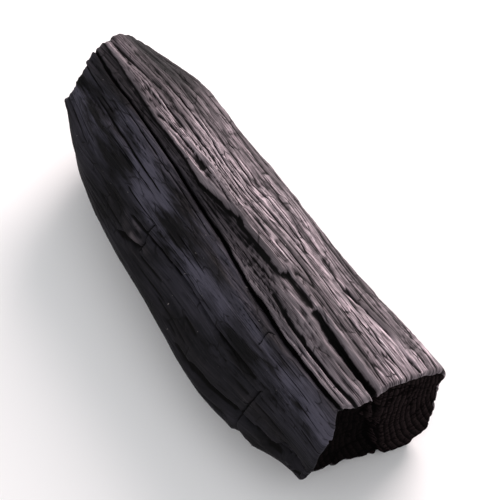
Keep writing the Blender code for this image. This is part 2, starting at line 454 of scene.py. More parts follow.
@dataclass(frozen=True)
class TopLayer:
    """The top layer of wood, broken away along a ragged edge, and the strip below it that slopes to a crack.

    Attributes:
        edge: The ragged edge's angle at rest, in degrees.
        strip_end: The angle at rest of the crack's far wall, in degrees.
        steps: Height of the edge at each place of GRAIN_X, in millimetres.
        slopes: How far the strip drops on its way to the crack at each of those places.
        wall: Width of the edge's wall.
        fade: How far from the edge its step has faded to one over e.
        end_wall: Width of the wall past the crack.
        raggedness: How far the edge strays, as a multiple of its jogs.
        jogs: How it strays.
        phase: Which stretch of the jogs it takes.
    """

    edge: float = 80.0
    strip_end: float = 102.0
    steps: tuple[float, ...] = (1.0, 1.5, 2.5, 3.2, 3.8, 3.5, 2.2, 0.8, 0.4, 0.4)
    slopes: tuple[float, ...] = (0.3, 0.5, 1.0, 1.5, 2.0, 2.6, 2.2, 1.4, 1.0, 0.8)
    wall: float = 1.5
    fade: float = 22.0
    end_wall: float = 1.9
    raggedness: float = 1.1
    jogs: Jogs = Jogs()
    phase: float = 2.0

    def drop(self, place: Array, rest: Array) -> Array:
        """Drops the skin past the ragged edge, and more the nearer it comes to the long crack.

        The drop is the step, eased over the wall and fading as one over e to the distance, plus the slope
        times the share of the strip that is crossed, which ends at the crack's far wall.

        Args:
            place: Places at rest, in millimetres.
            rest: Angles at rest, in radians.

        Returns:
            Drops in millimetres.
        """
        past = angle_gap(rest, math.radians(self.edge)) * GRAIN_RADIUS
        torn = past + self.raggedness * self.jogs.at(place[:, :1], self.phase)
        step = np.interp(place, GRAIN_X, self.steps)
        drop = step * smooth(torn / self.wall) * np.exp(-np.clip(past, 0.0, None) / self.fade)
        width = math.radians(self.strip_end - self.edge) * GRAIN_RADIUS
        beyond = np.clip((past - width) / self.end_wall, 0.0, 1.0)
        slope = np.interp(place, GRAIN_X, self.slopes)
        return drop + slope * np.clip(past / width, 0.0, 1.0) * (1.0 - beyond)


@dataclass(frozen=True)
class Cracks:
    """All cracks: the checks and cross breaks of the main form, and hairlines drawn by seed between them.

    Attributes:
        checks: The drying checks.
        breaks: The cross breaks.
        check_taper: The power of a check's taper. A lower one makes blunter ends.
        check_wall: The power of its walls. One under 1 makes them steep at the bottom.
        break_taper: How many times faster than its length a cross break opens at its ends.
        jogs: How the checks stray.
        stray_share: How far a check strays, as a multiple of half its width and of its jogs.
        stray_most: The most that this multiple may be.
        width_change: How much its width changes with its jogs.
        width_phase: How much further on its width takes its jogs from.
        phase_step: How much further on each check takes its jogs from than the one before.
        hairlines: How many hairline checks there are.
        hair_length: Their shortest and longest length, in millimetres.
        hair_half_width: Half their least and greatest width.
        hair_depth: Their least and greatest depth.
        hair_seed: Seed of the draw.
    """

    checks: tuple[Check, ...] = (
        Check(102, -116, 118, 2.1, 5.5),
        Check(80, 56, 122, 1.9, 6.5),
        Check(91, 38, 112, 0.9, 2.0),
        Check(33, 50, 101, 0.9, 3.0),
        Check(48, 22, 112, 0.55, 1.5),
        Check(58, 48, 112, 0.5, 1.2),
        Check(54, -76, 12, 1.0, 2.2),
        Check(127, -92, -28, 0.9, 1.4),
        Check(163, -34, 60, 1.2, 3.6),
        Check(187, 20, 118, 1.3, 4.5),
        Check(214, -96, 30, 1.4, 4.8),
        Check(246, -40, 88, 1.1, 3.2),
        Check(281, 10, 122, 1.5, 5.0),
        Check(325, -60, 66, 1.6, 5.5),
        Check(352, -30, 84, 1.3, 4.0),
        Check(10, -118, -46, 1.2, 3.6),
    )
    breaks: tuple[CrossBreak, ...] = (
        CrossBreak(52, 102, 134, 0.6, 1.6),
        CrossBreak(-22, 150, 178, 0.6, 1.6),
        CrossBreak(-52, 187, 246, 0.8, 3.0),
        CrossBreak(8, 214, 281, 0.8, 2.8),
        CrossBreak(36, 281, 352, 0.9, 3.2),
        CrossBreak(-36, 325, 370, 0.8, 2.6),
        CrossBreak(66, 163, 214, 0.7, 2.4),
    )
    check_taper: float = 0.6
    check_wall: float = 0.8
    break_taper: float = 8.0
    jogs: Jogs = Jogs()
    stray_share: float = 0.6
    stray_most: float = 0.8
    width_change: float = 0.35
    width_phase: float = 2.0
    phase_step: float = 0.7
    hairlines: int = 130
    hair_length: tuple[float, float] = (9.0, 48.0)
    hair_half_width: tuple[float, float] = (0.35, 0.65)
    hair_depth: tuple[float, float] = (0.4, 1.3)
    hair_seed: int = 83

    def hairline_checks(self) -> list[Check]:
        """Draws each hairline's place, length, width, angle and depth.

        Returns:
            The hairline checks.
        """
        draw = np.random.default_rng(self.hair_seed)
        lines = []
        for _ in range(self.hairlines):
            middle = draw.uniform(-LENGTH / 2, LENGTH / 2)
            half = draw.uniform(*self.hair_length) / 2
            width = draw.uniform(*self.hair_half_width)
            angle = draw.uniform(0, 360)
            lines.append(Check(angle, middle - half, middle + half, width, draw.uniform(*self.hair_depth)))
        return lines

    def groove(self, place: Array, rest: Array, check: Check, phase: float) -> Array:
        """Cuts one check: a steep groove that jogs and changes width, closing to nothing at both ends.

        Args:
            place: Places at rest, in millimetres.
            rest: Angles at rest, in radians.
            check: The check.
            phase: Which stretch of the jogs it takes.

        Returns:
            Depths in millimetres.
        """
        line = place[:, :1]
        share = np.clip((line - check.start) / (check.end - check.start), 0.0, 1.0)
        opening = np.sin(math.pi * share) ** self.check_taper
        stray = self.jogs.at(line, phase) * min(self.stray_most, self.stray_share * check.half_width)
        across = np.abs(angle_gap(rest, math.radians(check.angle)) * GRAIN_RADIUS + stray)
        width = check.half_width * (1.0 + self.width_change * self.jogs.at(line, phase + self.width_phase))
        return check.depth * opening * np.clip(1.0 - across / width, 0.0, 1.0) ** self.check_wall

    def depth(self, place: Array, rest: Array) -> Array:
        """Takes the deepest of all checks, hairlines and cross breaks at each point.

        Args:
            place: Places at rest, in millimetres.
            rest: Angles at rest, in radians.

        Returns:
            Depths in millimetres.
        """
        deepest = np.zeros(place.shape)
        for index, check in enumerate((*self.checks, *self.hairline_checks())):
            deepest = np.maximum(deepest, self.groove(place, rest, check, self.phase_step * index))
        for cut in self.breaks:
            share = (np.degrees(rest) - cut.start) % 360.0 / (cut.end - cut.start)
            inside = smooth(share * self.break_taper) * smooth((1.0 - share) * self.break_taper)
            wall = np.clip(1.0 - np.abs(place - cut.place) / cut.half_width, 0.0, 1.0)
            deepest = np.maximum(deepest, cut.depth * inside * wall)
        return deepest


@dataclass(frozen=True)
class PinKnot:
    """A small overgrown pin knot on the left face: a rumpled lip and a slit beside it.

    Sizes are in millimetres and angles in degrees.

    Attributes:
        place: The lip's place along X.
        angle: Its angle at rest.
        half_along: Half its length.
        half_around: Half its width.
        lip: Its height.
        lip_level: The share of it that is even.
        lip_rumple: The share that the rumples add or take.
        rumples: The rumples across it.
        slit_angle: The slit's angle at rest.
        slit_slant: How far the slit strays round the lump for each millimetre along it.
        slit_half: Half the slit's length.
        slit_blunt: How many times faster than its length the slit opens from its ends.
        slit_width: Half its width.
        slit_depth: Its depth.
        shine: The lustre of the lip's rumples, a painted highlight.
    """

    place: float = -28.5
    angle: float = 169.5
    half_along: float = 8.0
    half_around: float = 3.6
    lip: float = 0.9
    lip_level: float = 0.6
    lip_rumple: float = 0.7
    rumples: FibreRelief = FibreRelief(1.0, 3.4, 2.2, 127)
    slit_angle: float = 176.0
    slit_slant: float = -0.22
    slit_half: float = 11.0
    slit_blunt: float = 1.6
    slit_width: float = 2.1
    slit_depth: float = 3.0
    shine: float = 0.5

    def drop(self, place: Array, rest: Array) -> Array:
        """Raises an oval, bell-shaped lip that is rumpled across the grain, and cuts the slit.

        Args:
            place: Places at rest, in millimetres.
            rest: Angles at rest, in radians.

        Returns:
            Drops in millimetres, less than nothing on the lip.
        """
        past = place - self.place
        across = angle_gap(rest, math.radians(self.slit_angle)) * GRAIN_RADIUS - self.slit_slant * past
        closing = smooth(self.slit_blunt - self.slit_blunt * np.abs(past) / self.slit_half)
        # A closed slit has no depth, but keeps a twentieth of its width to divide by.
        slit = np.clip(1.0 - np.abs(across) / (self.slit_width * np.maximum(closing, 0.05)), 0.0, 1.0)
        return self.slit_depth * closing * slit - self.lip * self.lips(place, rest)

    def lips(self, place: Array, rest: Array) -> Array:
        """Shapes the lip: one over e to the sum of the squares of both distances, times its rumples.

        Args:
            place: Places at rest, in millimetres.
            rest: Angles at rest, in radians.

        Returns:
            From nothing to a little over 1.
        """
        past = (place - self.place) / self.half_along
        around = angle_gap(rest, math.radians(self.angle)) * GRAIN_RADIUS / self.half_around
        rumpled = self.lip_level + self.lip_rumple * self.rumples.at(place, rest)
        return np.exp(-(past**2) - around**2) * rumpled


@dataclass(frozen=True)
class CharSkin:
    """The charred skin's relief, from broad swells down to threads of fibre, and its lustre with painted
    light and shade.

    Attributes:
        layer: The broken top layer.
        cracks: The cracks.
        knot: The pin knot.
        chips: The chips along the lower left edge, most of them near the near end.
        chip_splinters: How far the ends of a chip are splintered, as a multiple of each fibre's jag.
        chip_wall: The power of a chip's hollow. A lower one makes steeper walls.
        swells: Broad rises and falls.
        flakes: The slow relief that is stepped into growth layers.
        flake_steepness: How fast it climbs through the layers.
        flake_levels: How many layers there are.
        flake_edge: The share of a layer in which it steps down to the next.
        fibres: Bundles of fibres.
        jag: How far each thread of a layer's edge is broken back along the grain.
        splinters: Broken fibres that end in a step.
        slivers: Thinner ones.
        beads: Short crumbs of char.
        wide_clefts: Gaps between bundles.
        narrow_clefts: Gaps between thinner bundles.
        calm: The share of the fine relief that is lost at a rim.
        calm_reach: How near to a rim that starts, in millimetres.
        rough_angles: Angles at rest where the roughness of the split is given, in degrees.
        rough_shares: The share of the fine relief there. The charred outside is smoother than the split
            faces.
        clean: How much of the broad relief is lost where the split ran clean, on the near half of the upper
            face.
        clean_strip: The angles at rest that the clean split runs between, in degrees.
        clean_edge: How far inside those angles it sets in.
        clean_from: Where along X it starts, and where it has fully set in.
        shine_angles: Angles at rest where the lustre and painted light are given, in degrees.
        shine_far: The far end's, from 0, sooty, to 1, a clean split, with painted shade on the right.
        shine_near: The near end's, with painted highlights on the faces towards the light.
        shine_change: Where along X the one turns into the other.
        shaded_strip: The strip under the top layer, as angles at rest in degrees, which is given painted
            shade over the far part and opens to the light later.
        shaded_edge: How far inside those angles it starts, in degrees.
        shaded_length: How much later along X its painted shade gives way, in millimetres.
        shine_level: The share of the lustre and painted light that the patches and streaks add to or take
            from.
        shine_most: The most lustre and painted light there is.
        fresh_rim: How much painted highlight the near rim gets on top of its lustre.
        fresh_reach: How far from the rim that goes, in millimetres.
        shine_patches: Soft patches of lustre and painted light.
        shine_streaks: Streaks of it along the fibres.
        bloom_angles: Angles at rest where the painted sky light is given, in degrees.
        bloom_shares: The painted sky light there, from 0 to 1, most on the upper band of the left face.
        bloom_patches: Soft patches of painted sky light.
        bloom_most: The most painted sky light there is.
    """

    layer: TopLayer = TopLayer()
    cracks: Cracks = Cracks()
    knot: PinKnot = PinKnot()
    chips: tuple[Chip, ...] = (
        Chip(92, 182, 7.5, 3.2, 5.5),
        Chip(85, 188, 6.0, 2.8, 4.5),
        Chip(98, 195, 6.5, 4.0, 3.0),
        Chip(66, 200, 5.5, 3.5, 2.0),
    )
    chip_splinters: float = 0.45
    chip_wall: float = 0.6
    swells: FibreRelief = FibreRelief(1.1, 38, 21, 5)
    flakes: FibreRelief = FibreRelief(1.2, 46, 12, 23)
    flake_steepness: float = 1.2
    flake_levels: int = 4
    flake_edge: float = 0.16
    fibres: FibreRelief = FibreRelief(0.9, 33, 5.6, 11)
    jag: FibreRelief = FibreRelief(5.0, 500, 1.1, 71, side_edge=0.3)
    splinters: FibreRelief = FibreRelief(0.30, 27, 4.2, 101, side_edge=0.3, end_edge=0.08)
    slivers: FibreRelief = FibreRelief(0.15, 15, 1.7, 103, side_edge=0.5, end_edge=0.12)
    beads: FibreRelief = FibreRelief(0.13, 5.2, 2.1, 131, side_edge=0.6, end_edge=0.3)
    wide_clefts: Clefts = Clefts(FibreRelief(1.0, 44, 3.6, 107), 0.20, 0.75)
    narrow_clefts: Clefts = Clefts(FibreRelief(1.0, 25, 1.7, 109), 0.32, 0.34)
    calm: float = 0.75
    calm_reach: float = 8.0
    rough_angles: tuple[float, ...] = (0, 78, 83, 99, 104, 112, 195, 215, 300, 360)
    rough_shares: tuple[float, ...] = (1.0, 1.0, 0.6, 0.6, 0.8, 0.3, 0.3, 0.7, 0.9, 1.0)
    clean: float = 0.55
    clean_strip: tuple[float, float] = (34.0, 80.0)
    clean_edge: float = 6.0
    clean_from: tuple[float, float] = (0.0, 45.0)
    # Lustre of the split faces, with painted shade on the far end's right side and painted highlights on the
    # near half's upper faces.
    shine_angles: tuple[float, ...] = (0, 20, 45, 57, 68, 81, 83, 100, 105, 150, 200, 246, 300, 352, 360)
    shine_far: tuple[float, ...] = (
        *(0.25, 0.08, 0.03, 0.30, 0.80, 1.00, 0.25, 0.20),
        *(0.06, 0.02, 0.05, 0.15, 0.2, 0.25, 0.25),
    )
    shine_near: tuple[float, ...] = (
        *(0.8, 1.25, 1.35, 1.3, 1.15, 1.05, 1.05, 1.0),
        *(0.12, 0.02, 0.05, 0.15, 0.3, 0.6, 0.6),
    )
    shine_change: tuple[float, float] = (-84.0, -25.0)
    shaded_strip: tuple[float, float] = (81.0, 103.0)
    shaded_edge: float = 2.0
    shaded_length: float = 50.0
    shine_level: float = 0.9
    shine_most: float = 1.2
    fresh_rim: float = 0.35
    fresh_reach: float = 16.0
    shine_patches: FibreRelief = FibreRelief(0.20, 34, 9, 287)
    shine_streaks: FibreRelief = FibreRelief(0.50, 42, 4.4, 285, side_edge=0.5, end_edge=0.6)
    # Painted sky light: a bluish grey laid on the soot, most where the left face looks up, in soft patches.
    bloom_angles: tuple[float, ...] = (0, 84, 104, 118, 132, 146, 163, 176, 215, 300, 360)
    bloom_shares: tuple[float, ...] = (0, 0, 0.3, 0.8, 1.05, 1.0, 0.22, 0.08, 0.18, 0.1, 0)
    bloom_patches: FibreRelief = FibreRelief(0.75, 34, 10, 233)
    bloom_most: float = 1.5

    def terraces(self, x: Array, angle: Array) -> Array:
        """Steps a slow relief into growth layers, whose edges each fibre's own jag has splintered.

        Args:
            x: True places, in millimetres.
            angle: True angles, in radians.

        Returns:
            How far the skin lies inside the outermost layer, in millimetres.
        """
        slow = self.flakes.at(x + self.jag.at(x, angle), angle) / self.flakes.height
        level = smooth(0.5 + self.flake_steepness * slow) * self.flake_levels
        step = np.floor(level) + smooth((level - np.floor(level) - 0.5) / self.flake_edge + 0.5)
        return self.flakes.height * step / self.flake_levels

    def chipped(self, place: Array, rest: Array) -> Array:
        """Hollows out each chip: its depth times a power of one less the squares of both distances from it.

        Each fibre's own jag splinters its ends.

        Args:
            place: Places at rest, in millimetres.
            rest: Angles at rest, in radians.

        Returns:
            Depths in millimetres.
        """
        deepest = np.zeros(place.shape)
        splintered = place + self.chip_splinters * self.jag.at(place, rest)
        for chip in self.chips:
            along = (splintered - chip.place) / chip.half_along
            around = angle_gap(rest, math.radians(chip.angle)) * GRAIN_RADIUS / chip.half_around
            bowl = np.clip(1.0 - along**2 - around**2, 0.0, 1.0) ** self.chip_wall
            deepest = np.maximum(deepest, chip.depth * bowl)
        return deepest

    def relief(self, place: Array, rest: Array, x: Array, angle: Array) -> Array:
        """Sums everything that the skin lies inside the split faces.

        Where the split ran clean, the broad relief is drawn towards its mean, half the flakes' height.

        Args:
            place: Places at rest, in millimetres.
            rest: Angles at rest, in radians.
            x: True places, in millimetres.
            angle: True angles, in radians.

        Returns:
            Drops in millimetres.
        """
        degrees = np.degrees(rest) % 360.0
        low, high = self.clean_strip
        start, end = self.clean_from
        across = smooth((degrees - low) / self.clean_edge) * smooth((high - degrees) / self.clean_edge)
        clean = self.clean * across * smooth((place - start) / (end - start))
        broad = self.swells.at(x, angle) + self.fibres.at(x, angle) + self.terraces(x, angle)
        broad = broad * (1.0 - clean) + self.flakes.height / 2.0 * clean
        broad = broad + self.layer.drop(place, rest) + self.knot.drop(place, rest) + self.chipped(place, rest)
        rough = np.interp(degrees, self.rough_angles, self.rough_shares)
        fine = self.splinters.at(x, angle) + self.slivers.at(x, angle) + self.beads.at(x, angle)
        fine = fine + np.maximum(self.wide_clefts.at(x, angle), self.narrow_clefts.at(x, angle))
        kept = 1.0 - self.calm * smooth(1.0 - (LENGTH / 2 - np.abs(place)) / self.calm_reach)
        return broad + self.cracks.depth(place, rest) + rough * kept * fine

    def shine(self, place: Array, rest: Array) -> Array:
        """Reads lustre and painted light round the lump at both ends, blends the two along it, with soft
        patches.

        Args:
            place: Places at rest, in millimetres.
            rest: Angles at rest, in radians.

        Returns:
            From 0, sooty or in painted shade, through 1, a clean split, to the most there is, with painted
            highlights.
        """
        degrees = np.degrees(rest) % 360.0
        # The far end's values darken its right side with painted shade; the near end's brighten the upper
        # faces with painted highlights.
        far = np.interp(degrees, self.shine_angles, self.shine_far)
        near = np.interp(degrees, self.shine_angles, self.shine_near)
        start, end = self.shine_change
        # The strip under the top layer keeps its painted shade further along X.
        low, high = self.shaded_strip
        strip = smooth((degrees - low) / self.shaded_edge) * smooth((high - degrees) / self.shaded_edge)
        blend = smooth((place - self.shaded_length * strip - start) / (end - start))
        patches = self.shine_level + self.shine_patches.at(place, rest) + self.shine_streaks.at(place, rest)
        # A painted highlight runs along the near rim.
        painted_rim_highlight = self.fresh_rim * smooth(1.0 - (LENGTH / 2 - place) / self.fresh_reach)
        lustre = (far * (1.0 - blend) + near * blend) * (patches + painted_rim_highlight)
        # The pin knot's lip gets a painted highlight.
        lip = self.knot.shine * self.knot.lips(place, rest)
        return np.clip(np.maximum(lustre, lip), 0.0, self.shine_most)

    def bloom(self, place: Array, rest: Array) -> Array:
        """Reads how much painted sky light lies on the soot round the lump, in soft patches.

        Args:
            place: Places at rest, in millimetres.
            rest: Angles at rest, in radians.

        Returns:
            From 0, none, to the most there is.
        """
        share = np.interp(np.degrees(rest) % 360.0, self.bloom_angles, self.bloom_shares)
        return np.clip(share * (1.0 + self.bloom_patches.at(place, rest)), 0.0, self.bloom_most)


@dataclass(frozen=True)
class BrokenGrain:
    """Relief that both broken ends share: chips, grit, and growth rings and rays about the pith.

    Attributes:
        chips: Coarse chips.
        grit: Fine ones.
        bend: How far the rings stray from round.
        rays: Clefts that run away from the pith.
        ring_height: How far the late wood stands out of each ring, in millimetres.
        ring_fall: The share of a ring in which it falls back to the next.
    """

    chips: LatticeRelief = LatticeRelief(0.32, 3.4, 61)
    grit: LatticeRelief = LatticeRelief(0.15, 1.5, 67)
    bend: LatticeRelief = LatticeRelief(1.2, 16, 69)
    rays: Clefts = Clefts(FibreRelief(1.0, 15, 2.6, 73), 0.16, 0.9)
    ring_height: float = 0.2
    ring_fall: float = 0.2

    def at(self, y: Array, z: Array) -> Array:
        """Adds up chips, grit and a saw-like wave of the distance from the pith, less the rays' clefts.

        Args:
            y: Places across the grain, in millimetres.
            z: Places up, in millimetres.

        Returns:
            Rises in millimetres.
        """
        distance = np.hypot(y - PITH[0], z - PITH[1]) + self.bend.at(y, z)
        share = distance / RING_PITCH % 1.0
        rings = self.ring_height * (share - smooth((share - 1.0 + self.ring_fall) / self.ring_fall))
        split = self.rays.at(distance, np.arctan2(z - PITH[1], y - PITH[0]))
        return self.chips.at(y, z) + self.grit.at(y, z) + rings - split


@dataclass(frozen=True)
class FarEnd:
    """The far end: it leans and is splintered.

    Attributes:
        way: The way it faces.
        middle: Its middle, across the grain and up.
        lean: How far it stands out for each millimetre across the grain and up.
        lumps: Its coarse relief.
        splinters: Its splinters.
        grain: Its grain.
        grain_height: How many times as high its grain stands as the near end's.
        shine: Its lustre.
    """

    way: BrokenEnd = BrokenEnd.FAR
    middle: tuple[float, float] = (6.0, 0.0)
    lean: tuple[float, float] = (0.12, 0.20)
    lumps: LatticeRelief = LatticeRelief(2.2, 13, 57)
    splinters: LatticeRelief = LatticeRelief(1.1, 6, 58)
    grain: BrokenGrain = BrokenGrain()
    grain_height: float = 1.6
    shine: float = 0.12

    def out(self, y: Array, z: Array, rest: Array, spread: Array | float) -> Array:
        """Works out how far the end stands out, alike from its middle to its rim.

        Args:
            y: Places across the grain, in millimetres.
            z: Places up, in millimetres.
            rest: Angles at rest, in radians. This end makes no use of them.
            spread: From 0 in the middle to 1 on the rim. This end makes no use of it.

        Returns:
            Distances out along the grain, in millimetres.
        """
        rough = self.lumps.at(y, z) + self.splinters.at(y, z) + self.grain_height * self.grain.at(y, z)
        return self.lean[0] * y + self.lean[1] * z + rough

    def recess(self, y: Array, z: Array, rest: Array, spread: Array) -> Array:
        """Says how far each point lies in a recess: this end has none."""
        return np.zeros(y.shape)


@dataclass(frozen=True)
class NearEnd:
    """The near end: an uneven rim, a domed right part, and past a crack a hollow left part.

    Sizes are in millimetres.

    Attributes:
        way: The way it faces.
        middle: Its middle, across the grain and up.
        rim_angles: Angles at rest where the rim is given, in degrees.
        rim_outs: How far it stands out there.
        seam: Angles at rest between which the hollow part lies, in degrees.
        dome: Height of the right part over the rim.
        hollow: Depth of the left part under it.
        crack: Depth of the crack between them.
        crack_width: Half its width.
        crack_rim: The share of its depth that is left at the rim below.
        seam_wander: How far the seam strays, but at the rim.
        lumps: The end's coarse relief.
        hollow_chips: Chips in the hollow.
        grain: The end's grain.
        shine: Its lustre.
    """

    way: BrokenEnd = BrokenEnd.NEAR
    middle: tuple[float, float] = (1.5, -4.0)
    rim_angles: tuple[float, ...] = (
        *(0, 18, 42, 54, 88, 93, 99, 104, 112, 122, 138, 162),
        *(179, 190, 200, 225, 258, 275, 285, 300, 318, 330, 342, 360),
    )
    rim_outs: tuple[float, ...] = (
        *(-1.0, -1.3, -1.0, 0, 0.3, -1.5, -4.5, -5.0, -3.2, -0.5, 1.2, 2.0),
        *(2.5, 0.5, -1.5, -3.5, -4.0, -2.0, 0.5, 3.5, 4.5, 2.5, 0, -1.0),
    )
    seam: tuple[float, float] = (80.0, 281.0)
    dome: float = 1.5
    hollow: float = 5.0
    crack: float = 4.0
    crack_width: float = 1.3
    crack_rim: float = 0.35
    seam_wander: LatticeRelief = LatticeRelief(2.6, 7.5, 45)
    lumps: LatticeRelief = LatticeRelief(0.7, 11, 41)
    hollow_chips: LatticeRelief = LatticeRelief(0.7, 4.6, 43)
    grain: BrokenGrain = BrokenGrain()
    shine: float = 0.10

    def out(self, y: Array, z: Array, rest: Array, spread: Array | float) -> Array:
        """Works out how far the end stands out.

        It is the rim's own reach times the spread squared, plus the dome, which flattens to nothing at the
        rim with the spread's fourth power, less the hollow past the seam, less a crack along the seam that
        grows shallow at the rim below.

        Args:
            y: Places across the grain, in millimetres.
            z: Places up, in millimetres.
            rest: Angles at rest, in radians.
            spread: From 0 in the middle to 1 on the rim.

        Returns:
            Distances out along the grain, in millimetres.
        """
        rim = np.interp(np.degrees(rest) % 360.0, self.rim_angles, self.rim_outs)
        past = self.past_seam(y, z, rest, spread)
        level = smooth(past)
        inside = 1.0 - spread**4
        closing = np.where(z < self.middle[1], self.crack_rim + (1.0 - self.crack_rim) * inside, 1.0)
        crack = closing * np.clip(1.0 - np.abs(past), 0.0, 1.0)
        rough = self.lumps.at(y, z) + self.grain.at(y, z) + level * inside * self.hollow_chips.at(y, z)
        out = rim * spread**2 + rough + self.dome * inside
        return out - (self.dome + self.hollow) * inside * level - self.crack * crack

    def past_seam(self, y: Array, z: Array, rest: Array, spread: Array | float) -> Array:
        """Measures how far points lie past the seam: the gap to its nearer angle times the reach.

        The seam's wander is added, which fades to nothing at the rim.

        Args:
            y: Places across the grain, in millimetres.
            z: Places up, in millimetres.
            rest: Angles at rest, in radians.
            spread: From 0 in the middle to 1 on the rim.

        Returns:
            Distances in half widths of the crack, less than nothing on the domed part.
        """
        reach = np.hypot(y - self.middle[0], z - self.middle[1])
        start, stop = (angle_gap(rest, edge) for edge in np.radians(self.seam))
        gap = np.where(np.abs(start) < np.abs(stop), start, -stop)
        return (gap * reach + self.seam_wander.at(y, z) * (1.0 - spread**2)) / self.crack_width

    def recess(self, y: Array, z: Array, rest: Array, spread: Array) -> Array:
        """Says how far each point lies in the hollow: 0 on the domed part and 1 in it, eased over the crack.

        Args:
            y: Places across the grain, in millimetres.
            z: Places up, in millimetres.
            rest: Angles at rest, in radians.
            spread: From 0 in the middle to 1 on the rim.

        Returns:
            From 0 to 1.
        """
        return smooth(self.past_seam(y, z, rest, spread))


@dataclass(frozen=True)
class Sheet:
    """A stretch of the surface: the points that it adds, what the finishes read there, and its faces.

    Attributes:
        points: Places about the lump's own axis, in millimetres.
        grain: Where the patterns are read, in millimetres: on the skin, its places on a round log with
            straight grain, and on an end the places themselves.
        hollow: From 0 on a crest, through a half where it's even, to 1 in a hollow, where shade is painted.
        shine: The lustre, with painted shade and highlights.
        bloom: The painted sky light.
        quads: The faces, each as the numbers of its four points in the whole mesh.
    """

    points: Array
    grain: Array
    hollow: Array
    shine: Array
    bloom: Array
    quads: Array


